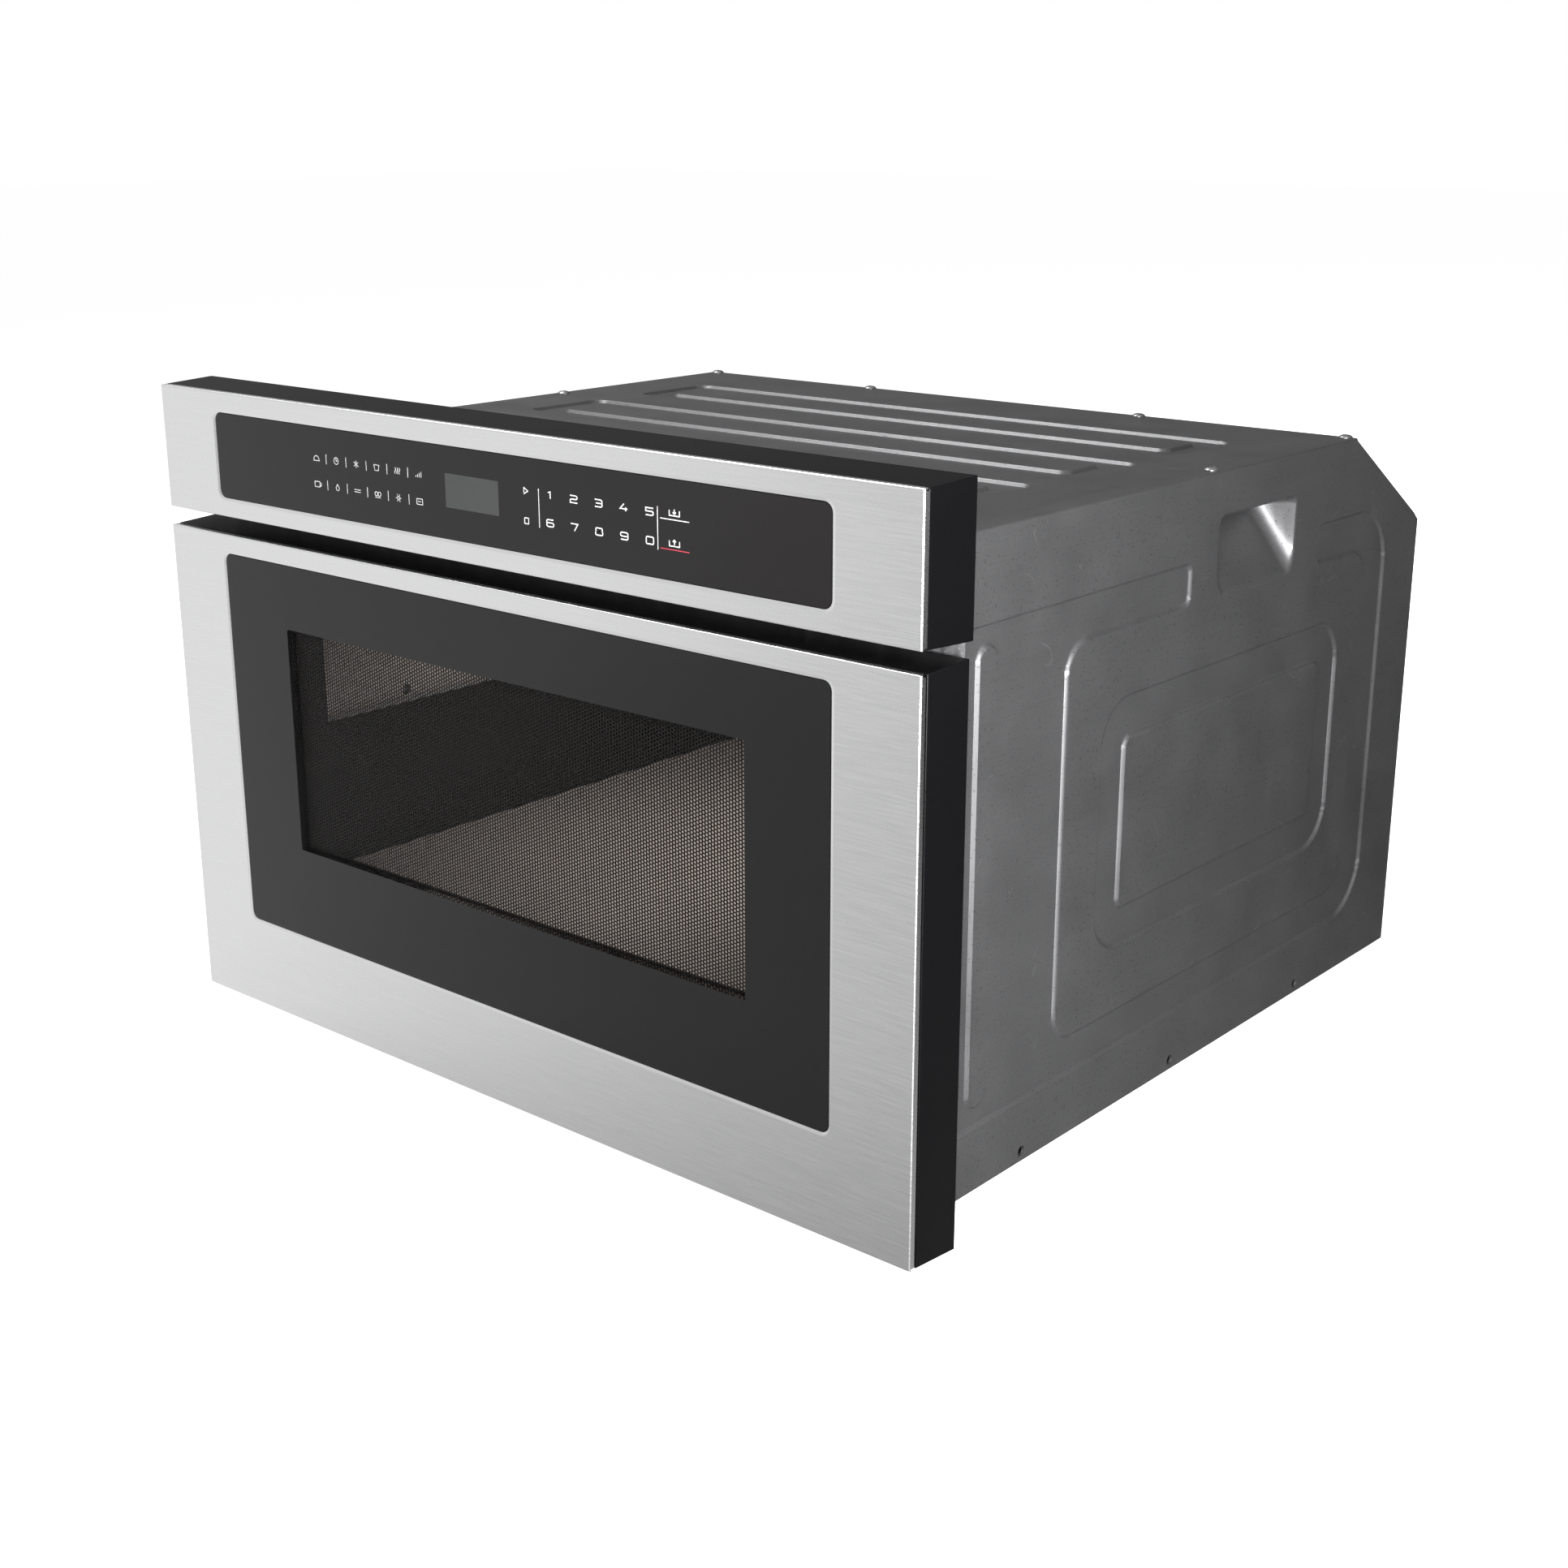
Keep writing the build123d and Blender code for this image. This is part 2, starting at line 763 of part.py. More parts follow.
def waveguide():
    """The rectangular duct from the magnetron to the ceiling dome."""
    y0 = antenna_y - guide_width / 2
    y1 = magnetron_y + guide_end
    top = dome_top + guide_height
    half = guide_width / 2
    guide = block(-half, half, y0, y1, dome_top, top)
    wall = cavity_sheet
    guide -= block(-half + wall, half - wall, y0 + wall, y1 - wall, dome_top + wall, top - wall)
    guide -= rod((0, antenna_y, dome_top - 1), feed_hole_r, 2 + wall, (0, 0, 1))
    guide -= rod((0, antenna_y, top - wall - 1), rotor_shaft_r + 1, 2 + wall, (0, 0, 1))
    guide -= rod((0, magnetron_y, dome_top - 1), 2 * aerial_r, 2 + wall, (0, 0, 1))
    return guide


def antenna_rotor():
    """The rotating antenna: a slotted disc on a slim shaft that runs up into its motor."""
    low = dome_top - cavity_sheet - rotor_drop
    disc = rod((0, antenna_y, low), rotor_disc_r, rotor_disc, (0, 0, 1))
    for index in range(3):
        turn = Pos(0, antenna_y, 0) * Rot(0, 0, index * 120)
        disc -= turn * block(-rotor_slot_r / 2, rotor_slot_r / 2, rotor_slot_r - rotor_slot_width,
                             rotor_slot_r, low - 1, low + rotor_disc + 1)
    hub = rod((0, antenna_y, low), rotor_hub_r, 3 * rotor_disc, (0, 0, 1))
    top = dome_top + guide_height + antenna_motor_height / 2
    shaft = rod((0, antenna_y, low), rotor_shaft_r, top - low, (0, 0, 1))
    return disc + hub + shaft


def antenna_motor():
    """The flat geared motor on top of the waveguide."""
    base = dome_top + guide_height
    can = rod((0, antenna_y, base), antenna_motor_r, antenna_motor_height, (0, 0, 1))
    ears = block(-antenna_motor_r - 10, antenna_motor_r + 10, antenna_y - 7, antenna_y + 7,
                 base, base + 1.5)
    bore = rod((0, antenna_y, base), rotor_shaft_r + shaft_gap, antenna_motor_height / 2 + 1,
               (0, 0, 1))
    return can + ears - bore


def magnetron():
    """The magnetron: flange, yoke, magnets, finned anode, filter box and the aerial on top."""
    y = magnetron_y
    flange = block(-magnetron_flange_x / 2, magnetron_flange_x / 2, y - magnetron_flange_y / 2,
                   y + magnetron_flange_y / 2, dome_top - fin_sheet, dome_top)
    top = dome_top - fin_sheet
    low = top - yoke_z
    yoke = block(-yoke_x / 2, yoke_x / 2, y - yoke_y / 2, y + yoke_y / 2, low, top)
    yoke -= block(-yoke_x / 2 + yoke_sheet, yoke_x / 2 - yoke_sheet, y - yoke_y, y + yoke_y,
                  low + yoke_sheet, top - yoke_sheet)
    magnet_low = rod((0, y, low + yoke_sheet), magnet_r, magnet_height, (0, 0, 1))
    magnet_top = rod((0, y, top - yoke_sheet), magnet_r, magnet_height, (0, 0, -1))
    a0 = low + yoke_sheet + magnet_height
    a1 = top - yoke_sheet - magnet_height
    anode = rod((0, y, a0), anode_r, a1 - a0, (0, 0, 1))
    for index in range(fin_count):
        z = a0 + (index + 0.5) * (a1 - a0) / fin_count
        anode += block(-yoke_x / 2 + yoke_sheet, yoke_x / 2 - yoke_sheet, y - yoke_y / 2 + 2,
                       y + yoke_y / 2 - 2, z - fin_sheet / 2, z + fin_sheet / 2)
    filter_box = block(-filter_x / 2, filter_x / 2, y - filter_y / 2, y + filter_y / 2,
                       low - filter_z, low)
    aerial = rod((0, y, dome_top), aerial_r, aerial_height, (0, 0, 1))
    aerial = fillet(aerial.edges().sort_by(Axis.Z)[-1], aerial_r / 2)
    return group(flange, yoke, magnet_low, magnet_top, anode, filter_box, aerial)


# ---- power parts -------------------------------------------------------------------------------
def transformer():
    """The high-voltage transformer: foot plate, laminated core and two windings."""
    x, y = transformer_x, cavity_back + transformer_setback
    z0 = base_top + transformer_foot
    foot = block(x - core_x / 2 - 8, x + core_x / 2 + 8, y - core_y / 2, y + core_y / 2, base_top, z0)
    core = block(x - core_x / 2, x + core_x / 2, y - core_y / 2, y + core_y / 2, z0, z0 + core_z)
    window = (core_x - 2 * core_limb) / 2 - core_limb / 2
    coils = []
    low = z0 + core_limb / 2
    high = z0 + core_z - core_limb / 2
    for side in (-1, 1):
        x0, x1 = sorted((x + side * core_limb / 2, x + side * (core_limb / 2 + window)))
        core -= block(x0, x1, y - core_y, y + core_y, low, high)
    middle = (low + high) / 2
    for z0c, z1c in ((low + 0.5, middle - 0.5), (middle + 0.5, high - 0.5)):
        reach = core_limb / 2 + window - 0.5
        coil = block(x - reach, x + reach, y - core_y / 2 - coil_overhang,
                     y + core_y / 2 + coil_overhang, z0c, z1c)
        coil = fillet(coil.edges().filter_by(Axis.Z), coil_overhang - 2)
        coil -= block(x - core_limb / 2 - 0.2, x + core_limb / 2 + 0.2, y - core_y / 2 - 0.2,
                      y + core_y / 2 + 0.2, z0c - 1, z1c + 1)
        coils.append(coil)
    return group(foot, core, *coils)


def capacitor():
    """The high-voltage capacitor in its strap, with two terminals and the diode between them."""
    x, y = capacitor_x, cavity_back + capacitor_setback
    flat = Plane(origin=(x, y, base_top + seat_gap))
    outline = RectangleRounded(capacitor_width, capacitor_depth, capacitor_width / 2 - 0.01)
    can = extrude(flat * outline, capacitor_height)
    strap_plane = Plane(origin=(x, y, base_top))
    strap = extrude(strap_plane * (offset(outline, 1.5) - offset(outline, 0.2)), 22)
    strap += block(x - 8, x + 8, y - capacitor_depth / 2 - 14, y - capacitor_depth / 2 - 0.3,
                   base_top, base_top + 1.5)
    top = base_top + seat_gap + capacitor_height
    terminals = [rod((x, y + side * 14, top), 3, 10, (0, 0, 1)) for side in (-1, 1)]
    diode = rod((x, y - 11, top + 6), 3, 22, (0, 1, 0))
    return group(can, strap, *terminals, diode)


def board(x0, x1, y0, y1, z, parts):
    """A circuit board on four posts, with a list of parts given as x, y, width, depth, height."""
    plate = block(x0, x1, y0, y1, z, z + board_sheet)
    posts = []
    for px in (x0 + 6, x1 - 6):
        for py in (y0 + 6, y1 - 6):
            posts.append(rod((px, py, roof_outer), 3, z - roof_outer, (0, 0, 1)))
    blocks = []
    for px, py, width, depth, height in parts:
        blocks.append(block(x0 + px, x0 + px + width, y0 + py, y0 + py + depth, z + board_sheet,
                            z + board_sheet + height))
    return group(plate, *posts, *blocks)


def power_board():
    """The board with relays and a small transformer, on the cavity roof."""
    x0 = -cavity_half + board_edge_x
    y0 = flange_back + board_front
    relays = [(14 + index * 24, 60, 18, 15, 16) for index in range(4)]
    parts = [(14, 12, 34, 28, 26), (62, 14, 16, 16, 20), (84, 14, 12, 12, 16),
             (112, 10, 50, 20, 10), *relays, (124, 58, 56, 9, 12)]
    return board(x0, x0 + power_board_x, y0, y0 + power_board_y, roof_outer + board_standoff, parts)


def line_filter():
    """The mains filter board with its choke, capacitors and fuse."""
    x0 = -cavity_half + board_edge_x
    y1 = cavity_back - board_front
    parts = [(10, 14, 26, 26, 22), (44, 14, 30, 12, 18), (44, 34, 30, 12, 18), (14, 58, 34, 8, 8)]
    return board(x0, x0 + filter_board_x, y1 - filter_board_y, y1, roof_outer + board_standoff / 2,
                 parts)


def cavity_lamp():
    """The lamp: a lens under the ceiling, a housing above it and the bulb inside."""
    rim = lamp_rim
    lens = block(lamp_x - lamp_hole_x / 2 - rim, lamp_x + lamp_hole_x / 2 + rim,
                 lamp_y - lamp_hole_y / 2 - rim, lamp_y + lamp_hole_y / 2 + rim,
                 cavity_roof - lens_sheet, cavity_roof)
    house = block(lamp_x - lamp_hole_x / 2 - rim, lamp_x + lamp_hole_x / 2 + rim,
                  lamp_y - lamp_hole_y / 2 - rim, lamp_y + lamp_hole_y / 2 + rim,
                  roof_outer, roof_outer + lamp_box_height)
    house -= block(lamp_x - lamp_hole_x / 2, lamp_x + lamp_hole_x / 2, lamp_y - lamp_hole_y / 2,
                   lamp_y + lamp_hole_y / 2, roof_outer, roof_outer + lamp_box_height - rim)
    bulb = rod((lamp_x, lamp_y, roof_outer + lamp_box_height - rim), bulb_r, bulb_height, (0, 0, -1))
    bulb = fillet(bulb.edges().sort_by(Axis.Z)[0], bulb_r - 1)
    return group(lens, house, bulb)


def thermal_cutouts():
    """Two round thermal cut-outs on the cavity roof."""
    discs = []
    for x, y in ((0.55 * cavity_half, antenna_y), (0.55 * cavity_half, cavity_back - 3 * cutout_r)):
        disc = rod((x, y, roof_outer), cutout_r, cutout_height, (0, 0, 1))
        for side in (-1, 1):
            disc += block(x + side * 4 - 1.5, x + side * 4 + 1.5, y - 0.4, y + 0.4,
                          roof_outer + cutout_height, roof_outer + cutout_height + 7)
        discs.append(disc)
    return group(*discs)


# ---- cooling fan -------------------------------------------------------------------------------
def fan_shroud():
    """The fan's square plate with its bore, and three spokes that carry the motor."""
    y0 = rear_inner - fan_depth
    half = fan_plate / 2
    body = block(-fan_x - half, -fan_x + half, y0, rear_inner, fan_z - half, fan_z + half)
    body -= rod((-fan_x, y0 - 1, fan_z), fan_bore_r, fan_depth + 2, (0, 1, 0))
    for index in range(3):
        spoke = block(-fan_spoke * 2, fan_spoke * 2, 0, fan_spoke, 0, fan_bore_r + 2)
        body += Pos(-fan_x, y0, fan_z) * Rot(0, index * 120, 0) * spoke
    body += rod((-fan_x, y0, fan_z), fan_motor_r, fan_spoke, (0, 1, 0))
    body -= rod((-fan_x, y0 - 1, fan_z), 2 * fan_shaft_r, fan_spoke + 2, (0, 1, 0))
    return body


def fan_motor():
    """The fan's motor, in front of the spokes."""
    y0 = rear_inner - fan_depth
    can = rod((-fan_x, y0, fan_z), fan_motor_r, fan_motor_length, (0, -1, 0))
    can = fillet(can.edges().sort_by(Axis.Y)[0], fan_spoke)
    return can - rod((-fan_x, y0 + 1, fan_z), fan_shaft_r + shaft_gap, fan_motor_length / 2,
                     (0, -1, 0))


def fan_wheel():
    """The axial fan wheel: hub, twisted blades and the shaft."""
    y0 = rear_inner - fan_depth + fan_spoke + 1
    depth = fan_depth - fan_spoke - 2
    wheel = rod((0, y0, 0), fan_hub_r, depth, (0, 1, 0))
    for index in range(fan_blades):
        blade = Rot(0, 0, 0) * block(-depth * 0.45, depth * 0.45, -fan_blade / 2, fan_blade / 2,
                                     fan_hub_r - 2, fan_wheel_r)
        blade = Pos(0, y0 + depth / 2, 0) * Rot(0, 0, 38) * blade
        wheel += Rot(0, index * 360 / fan_blades, 0) * blade
    wheel &= rod((0, y0, 0), fan_wheel_r, depth, (0, 1, 0))
    shaft = rod((0, y0 + depth / 2, 0), fan_shaft_r, fan_motor_length / 2 + depth / 2 - 2, (0, -1, 0))
    return Pos(-fan_x, 0, fan_z) * (wheel + shaft)


def air_duct():
    """The plastic duct from the fan past its motor to the magnetron."""
    y0 = cavity_back + duct_front_gap
    y1 = rear_inner - fan_depth
    x0 = -fan_x - fan_plate / 2
    x1 = x0 + fan_plate / 2 + duct_reach
    z0, z1 = fan_z - duct_low, fan_z + duct_top
    wall = duct_wall
    duct = block(x0, x1, y0, y1, z0, z1)
    duct -= block(x0 + wall, x1 + 1, y0 + wall, y1 - wall, z0 + wall, z1 - wall)
    return duct - rod((-fan_x, y1 - wall - 1, fan_z), fan_bore_r, wall + 2, (0, 1, 0))


# ---- control panel -----------------------------------------------------------------------------
def flared(z0, z1, y0, y1):
    """A black frame's outer block: it widens by the flare from its front to its back."""
    shapes = []
    for y, grow in ((y0, 0.0), (y1, frame_flare)):
        flat = Plane(origin=(0, y, (z0 + z1) / 2), x_dir=(1, 0, 0), z_dir=(0, 1, 0))
        shapes.append(flat * Rectangle(2 * (front_half + grow), z1 - z0 + 2 * grow))
    return loft(shapes)


def frame_tub(z0, z1, front, back):
    """A black frame: flared walls, a set-in lip for the stainless front and a back wall."""
    tub = flared(z0, z1, front, back)
    lip = panel(front_half - lip_inset, z0 + lip_inset, z1 - lip_inset, front_sheet + lip_gap, front)
    wall = frame_wall
    return tub + lip - panel(front_half - wall, z0 + wall, z1 - wall, front_sheet + lip_gap,
                             back - frame_back)


def fascia(z0, z1, opening, depth):
    """A stainless front with turned-back edges and a bevelled opening for its glass."""
    front = panel(front_half, z0, z1, 0, depth)
    front -= panel(front_half - front_sheet, z0 + front_sheet, z1 - front_sheet, front_sheet, depth)
    low, top = opening
    flats = []
    for y, grow in ((0.0, bevel), (bevel_depth, 0.0)):
        flat = Plane(origin=(0, y, (low + top) / 2), x_dir=(1, 0, 0), z_dir=(0, 1, 0))
        flats.append(flat * RectangleRounded(2 * (glass_half + grow), top - low + 2 * grow,
                                             glass_corner + grow))
    front -= loft(flats)
    return front - panel(glass_half, low, top, 0, front_sheet, glass_corner)


def glass(opening, thickness):
    """A glass plate that sits in the opening of a stainless front."""
    low, top = opening
    return panel(glass_half - seat_gap, low + seat_gap, top - seat_gap, glass_sink,
                 glass_sink + thickness, glass_corner - seat_gap)


def control_frame():
    """The black housing of the control panel, with two cable openings in its back."""
    tub = frame_tub(control_bottom, front_top, control_return, control_depth)
    z = (control_bottom + front_top) / 2
    for side in (-1, 1):
        x = side * glass_half / 2
        tub -= block(x - 30, x + 30, control_depth - frame_back - 1, control_depth + 1, z - 10, z + 10)
    return tub


def touch_board():
    """The touch sensor board behind the control glass."""
    low, top = control_opening
    y0 = glass_sink + control_glass_sheet
    return panel(glass_half - touch_inset, low + touch_inset, top - touch_inset, y0, y0 + touch_sheet)


def control_display():
    """The display module behind the touch board."""
    z = sum(control_opening) / 2
    y0 = glass_sink + control_glass_sheet + touch_sheet
    return block(display_x - display_width / 2, display_x + display_width / 2, y0,
                 y0 + display_depth, z - display_height / 2, z + display_height / 2)


# ---- door --------------------------------------------------------------------------------------
def choke_opening(grow):
    """The opening in the door's back wall, as half width, low and top."""
    return (cavity_half + choke_width + grow, cavity_floor - choke_width - grow,
            cavity_roof + 0.8 * choke_width + grow)


def door_frame():
    """The black frame of the door, with a groove behind the stainless front."""
    tub = frame_tub(0, door_top, door_return + groove, door_depth)
    half, low, top = choke_opening(0)
    return tub - panel(half, low, top, door_depth - frame_back - 1, door_depth + 1, glass_corner)


def door_spacer():
    """The dark spacer between the door glass and the screen, open at the window."""
    low, top = door_opening
    ring = panel(glass_half - 2 * bevel, low + 2 * bevel, top - 2 * bevel,
                 glass_sink + door_glass_sheet, screen_back)
    return ring - panel(window_half, window_low, window_top, glass_sink, screen_back + 1)


def door_screen():
    """The flat metal screen behind the window, finely perforated on the real door."""
    return panel(cavity_half + screen_margin, tunnel_low - screen_margin, tunnel_top + screen_margin,
                 screen_back, screen_back + screen_sheet)


def door_inner_panel():
    """The pressed inner door: a flange inside the frame and a tunnel back to the pan."""
    y0 = screen_back + screen_sheet
    y1 = y0 + inner_sheet
    inset = frame_wall + seat_gap
    inner = panel(front_half - inset, inset, door_top - inset, y0, y1)
    inner += panel(tunnel_half + tunnel_wall, tunnel_low - tunnel_wall, tunnel_top + tunnel_wall,
                   y1, pan_front)
    inner += panel(pan_out, pan_low, tunnel_top + 2 * tunnel_wall, pan_front - tunnel_wall, pan_front)
    return inner - panel(tunnel_half, tunnel_low, tunnel_top, y0 - 1, pan_front + 1)


def choke_cover():
    """The plastic ring that closes the door's back wall around the tunnel."""
    half, low, top = choke_opening(-seat_gap)
    y0 = door_depth - choke_sheet
    ring = panel(half, low, top, y0, door_depth, glass_corner)
    clear = tunnel_wall + seat_gap
    return ring - panel(tunnel_half + clear, tunnel_low - clear, tunnel_top + clear, y0 - 1,
                        door_depth + 1)


def door_bumpers():
    """The four soft bumpers on the back of the door."""
    bumpers = []
    for side in (-1, 1):
        for z in (bumper_low, bumper_top):
            centre = (side * (flange_half - bumper_edge), door_depth, z)
            bumpers.append(rod(centre, bumper_r, control_depth - door_depth - seat_gap, (0, 1, 0)))
    return group(*bumpers)


def latch_hooks():
    """The two hooks on the door's back that reach the interlock switches."""
    z0 = hook_low
    z1 = z0 + hook_height
    y0 = door_depth
    line = [(y0, z0), (y0 + hook_reach, z0), (y0 + hook_reach, z0 + 8), (y0 + hook_reach - 7, z1 - 4),
            (y0 + hook_reach - 14, z1 - 4), (y0 + hook_reach - 14, z0 + 9), (y0 + 12, z0 + 9),
            (y0 + 4, z1), (y0, z1)]
    hook = extrude(side_plane(hook_in) * closed_face(line), hook_sheet)
    return group(hook, mirror(hook, about=Plane.YZ))


# ---- drawer ------------------------------------------------------------------------------------
def drawer_pan():
    """The sheet pan of the drawer, open at the top and closed in front by the door."""
    pan = block(-pan_out, pan_out, pan_front, pan_back, pan_low, rim_low)
    return pan - block(-pan_in, pan_in, pan_front, pan_back - pan_sheet, tray_low, rim_low)


def pan_rim():
    """The grey trim along the top of the pan's two sides and back, with an outer skirt."""
    top = rim_low + rim_height
    outside = pan_out + rim_outside
    rear = pan_back + rim_outside
    rim = block(-outside, outside, pan_front, rear, rim_low - rim_skirt, top)
    inside = pan_in - rim_inside
    rim -= block(-inside, inside, pan_front, pan_back - pan_sheet - rim_inside, rim_low - rim_skirt,
                 top)
    wall = pan_out + seat_gap
    return rim - block(-wall, wall, pan_front, pan_back + seat_gap, rim_low - rim_skirt, rim_low)


def floor_tray():
    """The glass floor of the pan."""
    gap = 2 * seat_gap
    flat = Plane(origin=(0, (pan_front + pan_back - pan_sheet) / 2, tray_low))
    return extrude(flat * RectangleRounded(2 * (pan_in - gap), pan_back - pan_sheet - pan_front - 2 * gap,
                                           glass_corner), tray_sheet)


def pan_glides():
    """The two low-friction glides under the rear of the pan."""
    glides = []
    for side in (-1, 1):
        x = side * glide_x
        y1 = pan_back - glide_length / 2
        glides.append(block(x - glide_width / 2, x + glide_width / 2, y1 - glide_length, y1,
                            cavity_floor + seat_gap, pan_low))
    return group(*glides)


def drawer_arm():
    """The right-hand arm: a steel plate from the door back past the cavity."""
    y0 = door_depth
    top = arm_z + arm_height
    arm = block(arm_in, arm_out, y0, y0 + arm_length, arm_z, top)
    arm += block(arm_in - arm_flange, arm_out, y0, y0 + arm_sheet, arm_z, top)
    for index in range(4):
        y = y0 + (index + 0.75) * arm_length / 4.5
        hole = patch(y - 26, y + 26, top - 17, top - 7, 4.9)
        arm -= extrude(side_plane(arm_in - 1) * hole, arm_sheet + 2)
    return arm


def channel(x_web, x_lip, z0, z1):
    """One slide member: an upright web with a lip along its lower and its upper edge."""
    web = sorted((x_web, x_web + math.copysign(slide_sheet, x_lip - x_web)))
    reach = sorted((x_web, x_lip))
    y0, y1 = slide_front, slide_front + slide_length
    member = block(*web, y0, y1, z0, z1)
    member += block(*reach, y0, y1, z0, z0 + slide_sheet)
    return member + block(*reach, y0, y1, z1 - slide_sheet, z1)


def slide_member(level):
    """A member of the three-part slide: 0 is the outer, 1 the middle and 2 the inner one."""
    inset = level * (slide_sheet + slide_gap)
    z0, z1 = slide_z + inset, slide_z + slide_height - inset
    if level == 2:
        return channel(arm_out, slide_out - inset - slide_gap, z0, z1)
    return channel(slide_out - inset, arm_out + slide_sheet + slide_gap, z0, z1)


def slide_bracket():
    """The bracket on the base that carries the outer slide member."""
    top = slide_z + slide_height + bracket_rise
    y0, y1 = slide_front, slide_front + slide_length
    wall = block(slide_out, slide_out + bracket_sheet, y0, y1, base_top, top)
    foot = block(slide_out - bracket_foot, slide_out, y0, y1, base_top, base_top + bracket_sheet)
    return wall + foot


# ---- drive -------------------------------------------------------------------------------------
def involute(angle):
    """The involute function of a pressure angle in radians."""
    return math.tan(angle) - angle


def pinion_outline():
    """The pinion's outline, one tooth upright, with flanks that follow the involute."""
    alpha = math.radians(pressure_angle)
    base_r = pitch_r * math.cos(alpha)
    tip_r = pitch_r + gear_module
    root_r = pitch_r - gear_module * (1 + root_gap)
    half_pitch = (math.pi * gear_module - backlash) / 4 / pitch_r
    flank = [root_r]
    steps = 5
    flank += [base_r + (tip_r - base_r) * index / steps for index in range(steps + 1)]
    points = []
    for tooth in range(pinion_teeth):
        middle = math.pi / 2 - tooth * 2 * math.pi / pinion_teeth
        sides = []
        for radius in flank:
            angle = math.acos(min(1.0, base_r / radius))
            half = half_pitch + involute(alpha) - involute(angle)
            sides.append((radius, half))
        points += [(r * math.cos(middle + h), r * math.sin(middle + h)) for r, h in sides]
        points += [(r * math.cos(middle - h), r * math.sin(middle - h)) for r, h in sides[::-1]]
    return closed_face(points)


def drive_shaft():
    """The cross shaft under the cavity with a pinion near each end."""
    end = arm_in - 1.3
    shaft = rod((-end, shaft_y, shaft_z), shaft_r, 2 * end, (1, 0, 0))
    for start in (-end, end - pinion_width):
        plane = Plane(origin=(start, shaft_y, shaft_z), x_dir=(0, 1, 0), z_dir=(1, 0, 0))
        shaft += extrude(plane * pinion_outline(), pinion_width)
    return shaft


def drive_rack():
    """The right-hand rack on the arm's inner face, with its teeth down on the pinion."""
    pitch = math.pi * gear_module
    line_z = shaft_z + pitch_r
    slope = math.tan(math.radians(pressure_angle))
    half = (pitch - backlash) / 4
    tip = line_z - gear_module
    root = line_z + gear_module * (1 + root_gap)
    tip_half = half - gear_module * slope
    root_half = half + gear_module * (1 + root_gap) * slope
    start = shaft_y + (math.floor((rack_front - shaft_y) / pitch) + 0.5) * pitch
    end = shaft_y + drawer_travel + rack_spare
    count = int((end - start) / pitch)
    points = [(start - pitch / 2, root + rack_back), (start - pitch / 2, root)]
    for index in range(count):
        y = start + index * pitch
        points += [(y - root_half, root), (y - tip_half, tip), (y + tip_half, tip), (y + root_half, root)]
    last = start + (count - 0.5) * pitch
    points += [(last, root), (last, root + rack_back)]
    return extrude(side_plane(arm_in - rack_width) * closed_face(points), rack_width)


def shaft_bearings():
    """The two bearing blocks of the cross shaft, standing on the base."""
    blocks = []
    for side in (-1, 1):
        x = side * (cavity_half - bearing_setback + bearing_width / 2)
        x0, x1 = x - bearing_width / 2, x + bearing_width / 2
        top = shaft_z + bearing_cap
        body = block(x0, x1, shaft_y - bearing_length / 2, shaft_y + bearing_length / 2, base_top, top)
        body = fillet(body.edges().filter_by(Axis.X).sort_by(Axis.Z)[-2:], bearing_cap - 1)
        blocks.append(body - rod((x0 - 1, shaft_y, shaft_z), shaft_r + shaft_gap, bearing_width + 2,
                                 (1, 0, 0)))
    return group(*blocks)


def drive_gearbox():
    """The gearbox around the cross shaft."""
    x0, x1 = gearbox_x - gearbox_width / 2, gearbox_x + gearbox_width / 2
    y0, y1 = shaft_y - gearbox_length / 2, shaft_y + gearbox_length / 2
    box = block(x0, x1, y0, y1, base_top, base_top + gearbox_height)
    box = fillet(box.edges().filter_by(Axis.Z), 6)
    box += block(x0 - 8, x1 + 8, y0 + 6, y1 - 6, base_top, base_top + 3)
    return box - rod((x0 - 9, shaft_y, shaft_z), shaft_r + shaft_gap, gearbox_width + 18, (1, 0, 0))


def drive_motor():
    """The motor behind the gearbox."""
    y0 = shaft_y + gearbox_length / 2
    can = rod((gearbox_x, y0, base_z + motor_height), motor_r, motor_length, (0, 1, 0))
    return fillet(can.edges().sort_by(Axis.Y)[-1], 2)


# ---- interlock and cord gland ------------------------------------------------------------------
def switch_column():
    """The place of the interlock switches: their inner x, front y and lowest z."""
    rows = switch_z + (switch_count - 1) * switch_pitch
    x = hook_in + hook_sheet + 0.5
    return x, flange_back + switch_setback, hook_low + hook_height / 2 - rows / 2


def interlock_brackets():
    """The brackets behind the front frame that hold the interlock switches."""
    x, y0, z0 = switch_column()
    z1 = z0 + switch_z + (switch_count - 1) * switch_pitch
    x += switch_x
    wall = block(x, x + bracket_sheet, flange_back, y0 + switch_y + 6, z0 - 4, z1 + 4)
    bracket = wall + block(x, x + bracket_foot, flange_back, flange_back + bracket_sheet, z0 - 4, z1 + 4)
    return group(bracket, mirror(bracket, about=Plane.YZ))


def interlock_switches():
    """Three small switches on each interlock bracket."""
    x, y0, z0 = switch_column()
    switches = []
    for index in range(switch_count):
        z = z0 + index * switch_pitch
        body = block(x, x + switch_x, y0, y0 + switch_y, z, z + switch_z)
        body += block(x + 1.5, x + 4.5, y0 - 2.5, y0, z + 6, z + 9)
        switches += [body, mirror(body, about=Plane.YZ)]
    return group(*switches)


